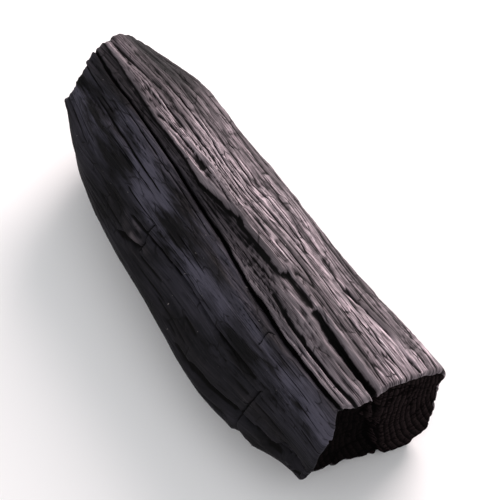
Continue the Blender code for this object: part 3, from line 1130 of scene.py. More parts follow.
@dataclass
class CharcoalLump:
    """The lump: one closed mesh of rows of skin between two end faces.

    Each end face is a square grid, drawn out to meet the skin's last row at its rim.

    Attributes:
        form: The split log.
        skin: The skin on it.
        near: The near end.
        far: The far end.
        half_side: Grid squares from the middle of an end face to its rim.
        rows: Even rows along the skin.
        upper_share: How much closer the columns stand from upper_from to upper_to, which face the eye.
        upper_from: Where that starts, as an angle at rest in degrees.
        upper_to: Where it stops.
        break_rows: How far from a cross break the rows beside it lie, in half widths of the break.
        rim_round: How far the rims are worn round, in millimetres.
        rim_wear: How much more or less that is on one fibre than on another.
        rim_reach: How far along the skin the rims pull it with them.
        rim_insets: How far the extra rows lie from a rim.
        hollow_range: The drop from a full crest to a full hollow, in millimetres.
        recess_tone: How hollow the near end's hollow part counts, from 0 to 1, which paints shade into it.
    """

    form: SplitLog = field(default_factory=SplitLog)
    skin: CharSkin = field(default_factory=CharSkin)
    near: NearEnd = field(default_factory=NearEnd)
    far: FarEnd = field(default_factory=FarEnd)
    half_side: int = 50
    rows: int = 190
    upper_share: float = 1.8
    upper_from: float = -45.0
    upper_to: float = 205.0
    break_rows: float = 1.1
    rim_round: float = 1.8
    rim_wear: float = 0.4
    rim_reach: float = 30.0
    rim_insets: tuple[float, ...] = (0.0, 0.2, 0.55, 1.05)
    hollow_range: float = 0.8
    recess_tone: float = 0.82

    def column_count(self) -> int:
        """Counts the columns, one for each step round the rim of an end face's grid."""
        return 8 * self.half_side

    def columns(self) -> Array:
        """Spreads the columns round the lump, closer together where the surface faces the eye.

        Their density is summed up over steps of a tenth of a degree, and each takes an equal part of the sum.

        Returns:
            Angles at rest, in radians, in rising order.
        """
        degrees = np.linspace(0.0, 360.0, 3601)
        turned = (degrees - self.upper_from) % 360.0
        dense = np.where(turned < self.upper_to - self.upper_from, self.upper_share, 1.0)
        total = np.concatenate([[0.0], np.cumsum((dense[1:] + dense[:-1]) / 2.0)])
        marks = np.arange(self.column_count()) / self.column_count() * total[-1]
        return np.radians(np.interp(marks, total, degrees))

    def places(self) -> Array:
        """Spreads the rows evenly along X, with extra ones at the rims, and draws three to each cross break.

        Returns:
            Places at rest, in millimetres, in rising order.
        """
        half = LENGTH / 2
        even = np.linspace(-half + self.rim_round, half - self.rim_round, self.rows)
        for cut in self.skin.cracks.breaks:
            middle = int(np.argmin(np.abs(even - cut.place)))
            aside = self.break_rows * cut.half_width
            even[middle - 1 : middle + 2] = cut.place - aside, cut.place, cut.place + aside
        rim = half - np.array(self.rim_insets)
        return np.sort(np.concatenate([even, rim, -rim]))

    def rim(self, place: Array, rest: Array) -> Array:
        """Turns the skin in at the worn rims, on a quarter circle whose size changes from fibre to fibre.

        Args:
            place: Places at rest, in millimetres.
            rest: Angles at rest, in radians.

        Returns:
            Drops in millimetres.
        """
        worn = self.rim_round * (1.0 + self.rim_wear * self.skin.fibres.at(place, rest))
        share = np.clip(1.0 - (LENGTH / 2 - np.abs(place)) / worn, 0.0, 1.0)
        return worn * (1.0 - np.sqrt(1.0 - share**2))

    def hollow(self, relief: Array, wrap: bool) -> Array:
        """Compares each point's drop with the mean drop of a small patch round it.

        The patch reaches five columns to either side, with the nearer ones counting more, and two rows.

        Args:
            relief: Drops on a grid, in millimetres.
            wrap: Whether the grid's columns run right round.

        Returns:
            From 0 on a crest, through a half where it's even, to 1 in a hollow.
        """
        mean = np.pad(relief, ((2, 2), (5, 5)), mode="edge")
        if wrap:
            mean[2:-2, :5] = relief[:, -5:]
            mean[2:-2, -5:] = relief[:, :5]
        for step in (1, 2, 2):
            mean = (np.roll(mean, step, axis=1) + np.roll(mean, -step, axis=1) + 2.0 * mean) / 4.0
        mean = (mean[:-4] + mean[1:-3] + mean[2:-2] + mean[3:-1] + mean[4:]) / 5.0
        return np.clip(0.5 + (relief - mean[:, 5:-5]) / self.hollow_range, 0.0, 1.0)

    def skin_sheet(self, place: Array, rest: Array) -> Sheet:
        """Works out the skin: each point's true place and angle, and the split faces less all relief.

        Near its rims the skin is drawn along with them, by the square of how near it is.

        Args:
            place: Places at rest, in millimetres.
            rest: Angles at rest, in radians.

        Returns:
            The skin, row after row.
        """
        x = self.form.true_place(place, rest)
        angle = self.form.true_angle(x, rest)
        relief = self.skin.relief(place, rest, x, angle)
        radius = self.form.split_radius(x, angle) - relief - self.rim(place, rest)
        y = radius * np.cos(angle)
        z = radius * np.sin(angle)
        for face, row in ((self.far, 0), (self.near, -1)):
            out = face.way.value * face.out(y[row], z[row], rest[row], 1.0)
            x = x + out * np.clip(1.0 - (LENGTH / 2 - face.way.value * place) / self.rim_reach, 0.0, 1.0) ** 2
        straight = np.stack([x, GRAIN_RADIUS * np.cos(angle), GRAIN_RADIUS * np.sin(angle)], axis=-1)
        index = np.arange(place.size).reshape(place.shape)
        after = np.roll(index, -1, axis=1)
        return Sheet(
            points=np.stack([x, y, z], axis=-1).reshape(-1, 3),
            grain=straight.reshape(-1, 3),
            hollow=self.hollow(relief, wrap=True).ravel(),
            shine=self.skin.shine(place, rest).ravel(),
            bloom=self.skin.bloom(place, rest).ravel(),
            quads=np.stack([index[:-1], after[:-1], after[1:], index[1:]], axis=-1).reshape(-1, 4),
        )

    def end_sheet(self, face: NearEnd | FarEnd, rim: Array, numbers: Array, rest: Array, first: int) -> Sheet:
        """Maps a square grid onto an end face: squares about the middle become rings like the rim.

        Each grid point is numbered by how far it is walked round its square, which gives the column that it
        lies on. It stands between the middle and that column's point on the rim, in proportion to its square.

        Args:
            face: The end.
            rim: The rim's points, one per column.
            numbers: The numbers of those points.
            rest: The columns' angles at rest.
            first: The number of the first point that the sheet adds.

        Returns:
            The end face, without the points of its rim.
        """
        side = self.half_side
        u, v = np.meshgrid(np.arange(-side, side + 1), np.arange(-side, side + 1), indexing="ij")
        ring = np.maximum(np.abs(u), np.abs(v))
        walked = np.select(
            [(u == ring) & (v >= 0), v == ring, u == -ring, v == -ring],
            [v, 2 * ring - u, 4 * ring - v, 6 * ring + u],
            8 * ring + v,
        )
        column = walked / np.maximum(ring, 1) * side
        knots = np.arange(len(rest) + 1)
        angle = np.interp(column, knots, np.append(rest, rest[0] + TURN))
        spread = ring / side
        ends = [np.interp(column, knots, np.append(values, values[0])) for values in (rim[:, 1], rim[:, 2])]
        y = face.middle[0] + (ends[0] - face.middle[0]) * spread
        z = face.middle[1] + (ends[1] - face.middle[1]) * spread
        out = face.out(y, z, angle, spread)
        inside = ring < side
        count = int(inside.sum())
        number = numbers[np.round(column).astype(int) % len(rest)]
        number[inside] = first + np.arange(count)
        corners = [number[:-1, :-1], number[1:, :-1], number[1:, 1:], number[:-1, 1:]]
        points = np.stack([face.way.value * (LENGTH / 2 + out), y, z], axis=-1)[inside]
        # The near end's hollow part counts as hollow, which paints shade into it.
        deep = self.recess_tone * face.recess(y, z, angle, spread)
        return Sheet(
            points=points,
            grain=points,
            hollow=np.maximum(self.hollow(-out, wrap=False), deep)[inside],
            shine=np.full(count, face.shine),
            bloom=np.zeros(count),
            quads=np.stack(corners[:: face.way.value], axis=-1).reshape(-1, 4),
        )

    def lay_down(self, points: Array, box: tuple[Vector, Vector]) -> Array:
        """Raises the lump onto the ground, flattens what would sink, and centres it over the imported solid.

        Args:
            points: Points about the lump's own axis, in millimetres.
            box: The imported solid's lowest and highest corners, in metres.

        Returns:
            The points where they lie, in millimetres.
        """
        points = points + np.array([0.0, 0.0, self.form.axis_height])
        points[:, 2] = np.maximum(points[:, 2], 0.0)
        centre = np.array([(low + high) / 2 / MM for low, high in zip(*box)])
        shift = centre - (points.min(axis=0) + points.max(axis=0)) / 2
        return points + np.array([shift[0], shift[1], 0.0])

    def build(self, name: str, box: tuple[Vector, Vector]) -> bpy.types.Object:
        """Joins the skin and both end faces in one mesh, with what the finishes read at each point.

        Args:
            name: The piece's name.
            box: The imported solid's box, in metres.

        Returns:
            The lump, at the origin, with its place in its mesh.
        """
        place, rest = np.meshgrid(self.places(), self.columns(), indexing="ij")
        skin = self.skin_sheet(place, rest)
        rims = skin.points.reshape(*place.shape, 3)
        numbers = np.arange(place.size).reshape(place.shape)
        sheets = [skin]
        for face, row in ((self.far, 0), (self.near, -1)):
            first = sum(len(sheet.points) for sheet in sheets)
            sheets.append(self.end_sheet(face, rims[row], numbers[row], rest[row], first))
        points, grain, hollow, shine, bloom, quads = (
            np.concatenate([getattr(sheet, part.name) for sheet in sheets]) for part in fields(Sheet)
        )
        mesh = bpy.data.meshes.new(name)
        mesh.from_pydata((self.lay_down(points, box) * MM).tolist(), [], quads.tolist())
        own = mesh.attributes.new("grain", "FLOAT_VECTOR", "POINT")
        own.data.foreach_set("vector", (grain * MM).astype(np.float32).ravel())
        # The points carry the hollow, which the materials paint as shade, the lustre with painted shade and
        # highlights, and painted sky light.
        for label, values in (("hollow", hollow), ("shine", shine), ("bloom", bloom)):
            layer = mesh.attributes.new(label, "FLOAT", "POINT")
            layer.data.foreach_set("value", values.astype(np.float32))
        mesh.shade_smooth()
        lump = bpy.data.objects.new(name, mesh)
        bpy.context.scene.collection.objects.link(lump)
        return lump

    def dress(self, lump: bpy.types.Object) -> None:
        """Gives the skin the split char and both end faces the end grain.

        Args:
            lump: The lump, as built.
        """
        mesh = lump.data
        mesh.materials.append(SplitChar().material())
        mesh.materials.append(EndGrainChar().material())
        slots = np.ones(len(mesh.polygons), np.int32)
        slots[: (len(self.places()) - 1) * self.column_count()] = 0
        mesh.polygons.foreach_set("material_index", slots)


def linear(colour: str) -> tuple[float, float, float, float]:
    """Turns an sRGB hex colour to linear values by the standard curve, which is straight near black.

    Args:
        colour: Such as "#3a3536".

    Returns:
        Red, green, blue and an alpha of 1.
    """
    parts = np.array([int(colour[place : place + 2], 16) / 255.0 for place in (1, 3, 5)])
    red, green, blue = np.where(parts <= 0.04045, parts / 12.92, ((parts + 0.055) / 1.055) ** 2.4)
    return float(red), float(green), float(blue), 1.0


def add_node(
    tree: bpy.types.NodeTree,
    kind: str,
    settings: dict[str, object] | None = None,
    inputs: dict[str | int, bpy.types.NodeSocket | object] | None = None,
) -> bpy.types.Node:
    """Adds a node, with its settings and with its inputs linked or set.

    Args:
        tree: The material's node tree.
        kind: The node's type name.
        settings: Its properties by name.
        inputs: Its inputs by name or number, each a socket to link from or a value to set.

    Returns:
        The new node.
    """
    node = tree.nodes.new(kind)
    for name, value in (settings or {}).items():
        setattr(node, name, value)
    for name, value in (inputs or {}).items():
        if isinstance(value, bpy.types.NodeSocket):
            tree.links.new(value, node.inputs[name])
        else:
            node.inputs[name].default_value = value
    return node


@dataclass(frozen=True)
class SplitChar:
    """Hardwood charcoal, charred slowly in a kiln and split along the grain.

    Soot makes the old outside nearly black, with painted bluish sky light where the left face looks up. Where
    it split, broken fibres have a satin, graphite-like lustre that turns pinkish grey in the light, with
    painted highlights on their crests and painted shade in the grooves between them.

    Attributes:
        name: The material's name.
        soot: Colour of the soot.
        bloom: Colour of the painted sky light on the soot.
        groove: Colour of the painted shade in hollows, and of the crazing's cracks.
        split: Colour of the split fibres, laid on by the lustre, which also carries painted shade and
            highlights.
        crest: Colour of the worn crests, partly real wear and partly painted highlight.
        ash: Colour of specks of ash.
        soot_roughness: Roughness of the soot.
        split_roughness: Roughness of the split fibres.
        groove_roughness: Roughness in the grooves.
        graphite: How metallic the split fibres are.
        specular: Level of the other reflections.
        stretch: How many times longer fibres and threads are than they are wide.
        fibre: Width of a bundle of fibres. This and the sizes below are in millimetres.
        fibre_rise: How far it stands out.
        fibre_bump: Strength of its relief.
        thread: Width of a thread of fibre.
        thread_rise: How far it stands out.
        thread_bump: Strength of its relief.
        patch_stretch: How many times longer patches are than they are wide.
        bloom_patch: Width of a patch of painted sky light.
        crazed_patch: Width of a patch of crazing.
        speck: Size of the noise whose rare peaks are specks of ash.
        block_length: Length of a block of crazed char.
        block_width: Its width.
        block_disorder: How unevenly the blocks are laid, from 0 to 1.
        craze_depth: Depth of the crazing.
        craze_bump: Strength of its relief.
    """

    # Charcoal is nearly pure carbon. Its soot swallows the light, and where fibres broke clean they shine
    # softly, like pencil lead.
    name: str = "charred_split_wood"
    soot: str = "#0b0b0d"
    bloom: str = "#4c4a56"
    groove: str = "#0a0909"
    split: str = "#655c61"
    crest: str = "#bfb3b9"
    ash: str = "#8d8684"
    soot_roughness: float = 0.60
    split_roughness: float = 0.44
    groove_roughness: float = 0.72
    graphite: float = 0.55
    specular: float = 0.07
    stretch: float = 30.0
    # Real bundles are 0.3 to 1 mm wide and real threads under 0.1 mm. Too fine to show, both are drawn
    # coarser.
    fibre: float = 1.5
    fibre_rise: float = 0.5
    fibre_bump: float = 1.0
    thread: float = 0.55
    thread_rise: float = 0.35
    thread_bump: float = 1.0
    patch_stretch: float = 2.9
    bloom_patch: float = 11.0
    crazed_patch: float = 4.8
    speck: float = 1.6
    block_length: float = 15.0
    block_width: float = 4.5
    block_disorder: float = 0.85
    craze_depth: float = 0.5
    craze_bump: float = 0.8

    def patterns(self, tree: bpy.types.NodeTree, grain: bpy.types.NodeSocket) -> Sockets:
        """Adds the patterns: each reads the grain coordinates, stretched along the grain, at its size.

        Crazing follows the edges of blocks of char, as the distance to the nearest edge.

        Args:
            tree: The material's node tree.
            grain: The grain coordinates, in metres.

        Returns:
            Each pattern's value by its name.
        """
        spaces = {}
        for name, longer in (("drawn", self.stretch), ("patchy", self.patch_stretch), ("even", 1.0)):
            shrunk = {"Vector": grain, "Scale": (1.0 / longer, 1.0, 1.0)}
            spaces[name] = add_node(tree, "ShaderNodeMapping", None, shrunk).outputs[0]
        ridged = {"noise_type": "RIDGED_MULTIFRACTAL"}
        # Each noise's space, the size of its largest features, its settings and its inputs.
        noises = {
            "fibres": ("drawn", self.fibre, ridged, {"Detail": 3.0, "Roughness": 0.55, "Lacunarity": 2.1}),
            "threads": ("drawn", self.thread, {}, {"Detail": 2.0, "Roughness": 0.6}),
            "cloud": ("patchy", self.bloom_patch, {}, {"Detail": 4.0, "Roughness": 0.55}),
            "crazed": ("patchy", self.crazed_patch, {}, {"Detail": 2.0}),
            "specks": ("even", self.speck, {}, {"Detail": 1.0}),
        }
        found = {}
        for name, (space, size, settings, inputs) in noises.items():
            inputs = {"Vector": spaces[space], "Scale": 1.0 / (size * MM), **inputs}
            found[name] = add_node(tree, "ShaderNodeTexNoise", settings, inputs).outputs["Fac"]
        across = 1.0 / (self.block_width * MM)
        blocks = {"Vector": grain, "Scale": (1.0 / (self.block_length * MM), across, across)}
        sized = add_node(tree, "ShaderNodeMapping", None, blocks).outputs[0]
        cells = {"Vector": sized, "Scale": 1.0, "Randomness": self.block_disorder}
        edges = add_node(tree, "ShaderNodeTexVoronoi", {"feature": "DISTANCE_TO_EDGE"}, cells)
        return {**found, "edges": edges.outputs["Distance"]}

    def shares(self, tree: bpy.types.NodeTree) -> Sockets:
        """Works out how much each layer of colour shows, from the piece's own attributes and the patterns.

        Each range of a value becomes a share from one number to another, and a layer's share is a product of
        such shares.

        Args:
            tree: The material's node tree.

        Returns:
            The shares and the patterns by name.
        """
        own = {
            label: add_node(tree, "ShaderNodeAttribute", {"attribute_name": label})
            for label in ("grain", "hollow", "shine", "bloom")
        }
        found = self.patterns(tree, own["grain"].outputs["Vector"])
        found.update({label: own[label].outputs["Fac"] for label in ("hollow", "shine", "bloom")})
        ends = ("Value", "From Min", "From Max", "To Min", "To Max")
        # What each share reads, the range of it that counts, and the share at both ends of the range.
        ranges = {
            # pit paints shade into the hollows; crest marks the raised spots that get painted highlights.
            "pit": ("hollow", 0.58, 0.82, 0.0, 1.0),
            "level": ("hollow", 0.58, 0.82, 1.0, 0.0),
            "crest": ("hollow", 0.52, 0.30, 0.0, 1.0),
            "streak": ("threads", 0.40, 0.62, 0.15, 1.05),
            "ridge": ("fibres", 0.3, 0.9, 0.2, 1.0),
            "grey patch": ("cloud", 0.38, 0.62, 0.0, 1.1),
            "grey thread": ("threads", 0.36, 0.64, 0.65, 1.35),
            "crazed patch": ("crazed", 0.50, 0.56, 0.0, 0.7),
            "crack": ("edges", 0.0, 0.045, 1.0, 0.0),
            "speck": ("specks", 0.79, 0.82, 0.0, 0.7),
        }
        for name, (source, *numbers) in ranges.items():
            inputs = dict(zip(ends, (found[source], *numbers)))
            found[name] = add_node(tree, "ShaderNodeMapRange", None, inputs).outputs[0]
        # What each layer's share is the product of. grey is painted sky light, bright the split's colour with
        # painted shade and highlights, and worn the crests' wear with painted highlights.
        layers = {
            "grey": ("bloom", "grey patch", "grey thread"),
            "bright": ("shine", "level", "streak"),
            "worn": ("shine", "crest", "ridge"),
            # worn: painted highlights on the crests, together with their real wear.
            "ashen": ("level", "speck"),
            "crazing": ("crack", "crazed patch"),
        }
        for name, factors in layers.items():
            total = found[factors[0]]
            for factor in factors[1:]:
                pair = {0: total, 1: found[factor]}
                total = add_node(tree, "ShaderNodeMath", {"operation": "MULTIPLY"}, pair).outputs[0]
            found[name] = total
        return found

    def material(self) -> bpy.types.Material:
        """Builds the material: layers of colour over the soot, some painted light and shade, and fibres,
        threads and crazing in relief.

        Returns:
            The finished material.
        """
        material = bpy.data.materials.new(self.name)
        material.use_nodes = True
        tree = material.node_tree
        tree.nodes.clear()
        found = self.shares(tree)
        colour = linear(self.soot)
        # Over the soot go painted sky light, the split's colour with painted shade and highlights, crest
        # highlights and ash; then painted shade in the hollows and the crazing's dark cracks.
        over = {"grey": self.bloom, "bright": self.split, "worn": self.crest, "ashen": self.ash}
        for name, tone in (*over.items(), ("pit", self.groove), ("crazing", self.groove)):
            mix = {"Factor": found[name], "A": colour, "B": linear(tone)}
            colour = add_node(tree, "ShaderNodeMix", {"data_type": "RGBA"}, mix).outputs["Result"]
        rough = self.soot_roughness
        for name, roughness in (("bright", self.split_roughness), ("pit", self.groove_roughness)):
            mix = {"Factor": found[name], "A": rough, "B": roughness}
            rough = add_node(tree, "ShaderNodeMix", {"data_type": "FLOAT"}, mix).outputs["Result"]
        carbon = {0: found["bright"], 1: self.graphite}
        metal = add_node(tree, "ShaderNodeMath", {"operation": "MULTIPLY"}, carbon).outputs[0]
        normal = {}
        for name, strength, height, sunk in (
            ("fibres", self.fibre_bump, self.fibre_rise, False),
            ("threads", self.thread_bump, self.thread_rise, False),
            ("crazing", self.craze_bump, self.craze_depth, True),
        ):
            relief = {"Height": found[name], "Strength": strength, "Distance": height * MM, **normal}
            normal = {"Normal": add_node(tree, "ShaderNodeBump", {"invert": sunk}, relief).outputs["Normal"]}
        finish = {
            "Base Color": colour,
            "Metallic": metal,
            "Roughness": rough,
            "Specular IOR Level": self.specular,
            **normal,
        }
        shader = add_node(tree, "ShaderNodeBsdfPrincipled", None, finish)
        add_node(tree, "ShaderNodeOutputMaterial", None, {"Surface": shader.outputs["BSDF"]})
        return material


@dataclass(frozen=True)
class EndGrainChar:
    """The same charcoal broken across the grain: cell ends like a fine sponge, which swallow the light.

    It's a brown-black with no gloss at all. Rings round the pith are paler on the early wood, pores show as
    fine dots, and rays from the pith as hairline cracks.

    Attributes:
        name: The material's name.
        late_wood: Colour of the late wood.
        early_wood: Colour of the early wood.
        hollow: Colour of the painted shade in the hollows, and in the near end's hollow part.
        crack: Colour of the rays' cracks.
        roughness: Roughness all over.
        specular: Level of the reflections.
        early: The shares of a ring between which the early wood turns into the late.
        waver: How far the rings stray from round. This and the sizes below are in millimetres.
        waver_length: Over what distance they do.
        ray: How far apart the rays lie at the lump's own axis.
        ray_length: How far they run.
        ray_edge: Half the range of their noise in which a crack shows.
        ray_share: How much of the crack's colour shows.
        ray_bump: Strength of the cracks' relief.
        pore: Distance between pores.
        pore_walls: The values of their noise at an open pore and at a full wall.
        pore_tone: The share of the early wood's colour that an open pore keeps.
        pore_depth: Their depth, and the cracks'.
        pore_bump: Strength of the pores' relief.
        pit: How hollow it is where the painted shade starts to show, and where it's all that shows.
    """

    # A break across the grain shows open cells end on, and most light that enters them never comes back.
    name: str = "charred_end_grain"
    late_wood: str = "#0d0b0b"
    early_wood: str = "#2a2223"
    hollow: str = "#080707"
    crack: str = "#050404"
    roughness: float = 0.9
    specular: float = 0.0
    early: tuple[float, float] = (0.15, 0.85)
    waver: float = 2.4
    waver_length: float = 14.0
    ray: float = 3.2
    ray_length: float = 22.0
    ray_edge: float = 0.02
    ray_share: float = 0.7
    ray_bump: float = 0.8
    # Real pores are 0.1 to 0.3 mm wide. Too fine to show, they are drawn coarser.
    pore: float = 0.6
    pore_walls: tuple[float, float] = (0.38, 0.58)
    pore_tone: float = 0.15
    pore_depth: float = 0.3
    pore_bump: float = 0.7
    pit: tuple[float, float] = (0.58, 0.90)

    def rings(
        self, tree: bpy.types.NodeTree, flat: bpy.types.NodeSocket, distance: bpy.types.NodeSocket
    ) -> bpy.types.NodeSocket:
        """Works out how pale the wood is: a falling ramp over how far into its ring each point lies.

        That is the part that is left over when the distance, bent a little, is divided by the rings' pitch.

        Args:
            tree: The material's node tree.
            flat: The place across the grain.
            distance: The distance from the pith.

        Returns:
            From 0 on the late wood to 1 on the early wood.
        """
        bends = {"Vector": flat, "Scale": 1.0 / (self.waver_length * MM), "Detail": 3.0, "Roughness": 0.5}
        bend = add_node(tree, "ShaderNodeTexNoise", None, bends).outputs["Fac"]
        bent = {0: bend, 1: self.waver * MM, 2: distance}
        reach = add_node(tree, "ShaderNodeMath", {"operation": "MULTIPLY_ADD"}, bent).outputs[0]
        turns = {0: reach, 1: RING_PITCH * MM}
        rings = add_node(tree, "ShaderNodeMath", {"operation": "DIVIDE"}, turns).outputs[0]
        share = add_node(tree, "ShaderNodeMath", {"operation": "FRACT"}, {0: rings}).outputs[0]
        first, last = self.early
        ramp = {"Value": share, "From Min": first, "From Max": last, "To Min": 1.0, "To Max": 0.0}
        return add_node(tree, "ShaderNodeMapRange", None, ramp).outputs[0]

    def rays(
        self, tree: bpy.types.NodeTree, away: bpy.types.NodeSocket, distance: bpy.types.NodeSocket
    ) -> bpy.types.NodeSocket:
        """Draws cracks away from the pith, where a noise drawn out along the way passes through its middle.

        Args:
            tree: The material's node tree.
            away: The place across the grain, from the pith.
            distance: The distance from the pith.

        Returns:
            How much of the cracks shows.
        """
        parts = add_node(tree, "ShaderNodeSeparateXYZ", None, {"Vector": away}).outputs
        turned = {0: parts["Z"], 1: parts["Y"]}
        angle = add_node(tree, "ShaderNodeMath", {"operation": "ARCTAN2"}, turned).outputs[0]
        polar = add_node(tree, "ShaderNodeCombineXYZ", None, {"X": angle, "Y": distance}).outputs[0]
        fan = {"Vector": polar, "Scale": (PITH[0] / self.ray, 1.0 / (self.ray_length * MM), 1.0)}
        fanned = add_node(tree, "ShaderNodeMapping", None, fan).outputs[0]
        streaks = {"Vector": fanned, "Scale": 1.0, "Detail": 2.0}
        streak = add_node(tree, "ShaderNodeTexNoise", None, streaks).outputs["Fac"]
        middle = {0: streak, 1: 0.5, 2: self.ray_edge}
        near = add_node(tree, "ShaderNodeMath", {"operation": "COMPARE"}, middle).outputs[0]
        faint = {0: near, 1: self.ray_share}
        return add_node(tree, "ShaderNodeMath", {"operation": "MULTIPLY"}, faint).outputs[0]

    def material(self) -> bpy.types.Material:
        """Builds the material: rings by their distance from the pith, then pores, rays and painted shade in
        the hollows.

        Returns:
            The finished material.
        """
        material = bpy.data.materials.new(self.name)
        material.use_nodes = True
        tree = material.node_tree
        tree.nodes.clear()
        grain = add_node(tree, "ShaderNodeAttribute", {"attribute_name": "grain"}).outputs["Vector"]
        hollow = add_node(tree, "ShaderNodeAttribute", {"attribute_name": "hollow"}).outputs["Fac"]
        across = {"Vector": grain, "Scale": (0.0, 1.0, 1.0)}
        flat = add_node(tree, "ShaderNodeMapping", None, across).outputs[0]
        from_pith = {0: flat, 1: (0.0, PITH[0] * MM, PITH[1] * MM)}
        away = add_node(tree, "ShaderNodeVectorMath", {"operation": "SUBTRACT"}, from_pith).outputs["Vector"]
        distance = add_node(tree, "ShaderNodeVectorMath", {"operation": "LENGTH"}, {0: away}).outputs["Value"]
        paler = self.rings(tree, flat, distance)
        dots = {"Vector": flat, "Scale": 1.0 / (self.pore * MM), "Detail": 2.0, "Roughness": 0.7}
        pores = add_node(tree, "ShaderNodeTexNoise", None, dots).outputs["Fac"]
        gap, wall = self.pore_walls
        walls = {"Value": pores, "From Min": gap, "From Max": wall, "To Min": self.pore_tone, "To Max": 1.0}
        solid = add_node(tree, "ShaderNodeMapRange", None, walls).outputs[0]
        wood = add_node(tree, "ShaderNodeMath", {"operation": "MULTIPLY"}, {0: paler, 1: solid}).outputs[0]
        rays = self.rays(tree, away, distance)
        shallow, deep = self.pit
        depths = {"Value": hollow, "From Min": shallow, "From Max": deep}
        pit = add_node(tree, "ShaderNodeMapRange", None, depths).outputs[0]
        colour = linear(self.late_wood)
        # The last layer is painted shade in the hollows.
        for amount, tone in ((wood, self.early_wood), (rays, self.crack), (pit, self.hollow)):
            mix = {"Factor": amount, "A": colour, "B": linear(tone)}
            colour = add_node(tree, "ShaderNodeMix", {"data_type": "RGBA"}, mix).outputs["Result"]
        normal = {}
        for height, strength, sunk in ((pores, self.pore_bump, False), (rays, self.ray_bump, True)):
            relief = {"Height": height, "Strength": strength, "Distance": self.pore_depth * MM, **normal}
            normal = {"Normal": add_node(tree, "ShaderNodeBump", {"invert": sunk}, relief).outputs["Normal"]}
        finish = {
            "Base Color": colour,
            "Roughness": self.roughness,
            "Specular IOR Level": self.specular,
            **normal,
        }
        shader = add_node(tree, "ShaderNodeBsdfPrincipled", None, finish)
        add_node(tree, "ShaderNodeOutputMaterial", None, {"Surface": shader.outputs["BSDF"]})
        return material


@dataclass(frozen=True)
class StudioPaper:
    """White background paper from a roll, smooth and matt.

    Attributes:
        name: The material's name.
        tone: Its colour.
        roughness: Its roughness.
    """

    # Uncoated paper scatters the light evenly, so it shows the lump's soft shadow and no mirror image.
    name: str = "background_paper"
    tone: str = "#f7f7f7"
    roughness: float = 0.9

    def material(self) -> bpy.types.Material:
        """Builds a plain matt material.

        Returns:
            The finished material.
        """
        material = bpy.data.materials.new(self.name)
        material.use_nodes = True
        shader = material.node_tree.nodes["Principled BSDF"]
        shader.inputs["Base Color"].default_value = linear(self.tone)
        shader.inputs["Roughness"].default_value = self.roughness
        return material


@dataclass(frozen=True)
class SoftBox:
    """One soft rectangular light.

    Attributes:
        name: Its name.
        towards: Its direction from what it looks at.
        distance: Its distance from there, in metres.
        sides: Its width and height, in metres.
        power: Its power, in watts.
        tone: Its colour.
    """

    name: str
    towards: tuple[float, float, float]
    distance: float
    sides: tuple[float, float]
    power: float
    tone: str

    def place(self, aim: Vector) -> None:
        """Hangs the light in its direction from the aim and turns it to face it.

        Args:
            aim: What the light looks at, in metres.
        """
        lamp = bpy.data.lights.new(self.name, "AREA")
        lamp.shape = "RECTANGLE"
        lamp.size, lamp.size_y = self.sides
        lamp.energy = self.power
        lamp.color = linear(self.tone)[:3]
        light = bpy.data.objects.new(self.name, lamp)
        direction = Vector(self.towards).normalized()
        light.location = aim + direction * self.distance
        light.rotation_euler = direction.to_track_quat("Z", "Y").to_euler()
        bpy.context.scene.collection.objects.link(light)


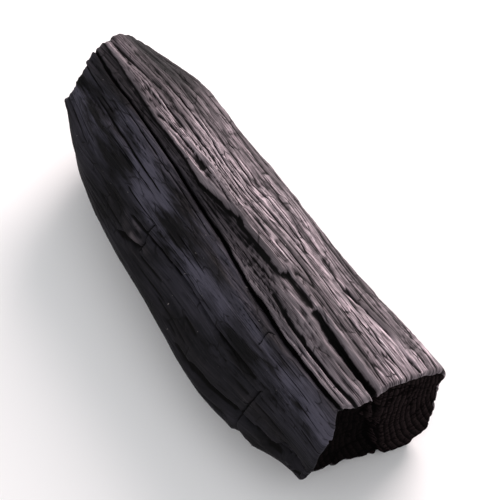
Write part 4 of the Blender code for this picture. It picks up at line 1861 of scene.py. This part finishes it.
@dataclass
class Studio:
    """Floor, lights and camera, set for the photograph's viewing angle.

    Attributes:
        azimuth: The camera's direction round the lump, in degrees.
        elevation: Its height over the horizon, in degrees.
        aim: What the camera and the lights look at, in metres.
        distance: The camera's distance from there, in metres.
        lens: Its focal length, in millimetres.
        floor_side: Side of the sheet of paper, in metres.
        sky_tone: Colour of the even light from all round.
        sky_strength: Its strength.
        boxes: The soft lights.
    """

    azimuth: float = 55.1
    elevation: float = 60.8
    aim: Vector = field(default_factory=lambda: Vector((0.003, 0.012, 0.030)))
    distance: float = 1.21
    lens: float = 200.0
    floor_side: float = 6.0
    sky_tone: str = "#f8f8fa"
    sky_strength: float = 0.80
    boxes: tuple[SoftBox, ...] = (
        SoftBox("key_light", (-0.40, 0.83, 0.42), 0.95, (0.6, 0.6), 15.5, "#fff1f0"),
    )

    def floor(self) -> None:
        """Lays a flat sheet of paper under the lump."""
        half = self.floor_side / 2
        mesh = bpy.data.meshes.new("floor")
        corners = [(-half, -half, 0), (half, -half, 0), (half, half, 0), (-half, half, 0)]
        mesh.from_pydata(corners, [], [(0, 1, 2, 3)])
        mesh.materials.append(StudioPaper().material())
        sheet = bpy.data.objects.new("floor", mesh)
        bpy.context.scene.collection.objects.link(sheet)

    def light(self) -> None:
        """Hangs the lights and sets an even sky."""
        for box in self.boxes:
            box.place(self.aim)
        world = bpy.data.worlds.new("studio")
        world.use_nodes = True
        sky = world.node_tree.nodes["Background"]
        sky.inputs["Color"].default_value = linear(self.sky_tone)
        sky.inputs["Strength"].default_value = self.sky_strength
        bpy.context.scene.world = world
        bpy.context.scene.view_settings.view_transform = "Standard"

    def camera(self) -> None:
        """Puts the camera on its line through the aim, level with the horizon and square to the line."""
        turn = math.radians(self.azimuth)
        lift = math.radians(self.elevation)
        right = Vector((math.cos(turn), math.sin(turn), 0.0))
        back = Vector((math.sin(turn) * math.cos(lift), -math.cos(turn) * math.cos(lift), math.sin(lift)))
        lens = bpy.data.cameras.new("camera")
        lens.lens = self.lens
        camera = bpy.data.objects.new("camera", lens)
        axes = Matrix((right, back.cross(right), back)).transposed().to_4x4()
        camera.matrix_world = Matrix.Translation(self.aim + back * self.distance) @ axes
        bpy.context.scene.collection.objects.link(camera)
        bpy.context.scene.camera = camera


def clear_startup() -> None:
    """Removes the objects of the startup file."""
    for thing in list(bpy.data.objects):
        bpy.data.objects.remove(thing, do_unlink=True)


def main() -> None:
    """Loads the frame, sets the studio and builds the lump."""
    logging.basicConfig(level=logging.INFO, format="%(message)s")
    clear_startup()
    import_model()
    studio = Studio()
    studio.camera()
    studio.floor()
    studio.light()
    maker = CharcoalLump()
    lump = maker.build("lump_of_charcoal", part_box(NODE))
    maker.dress(lump)
    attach(lump, BODY)
    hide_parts(NODE)
    log.info("%s: %d faces", lump.name, len(lump.data.polygons))


if __name__ == "__main__":
    main()
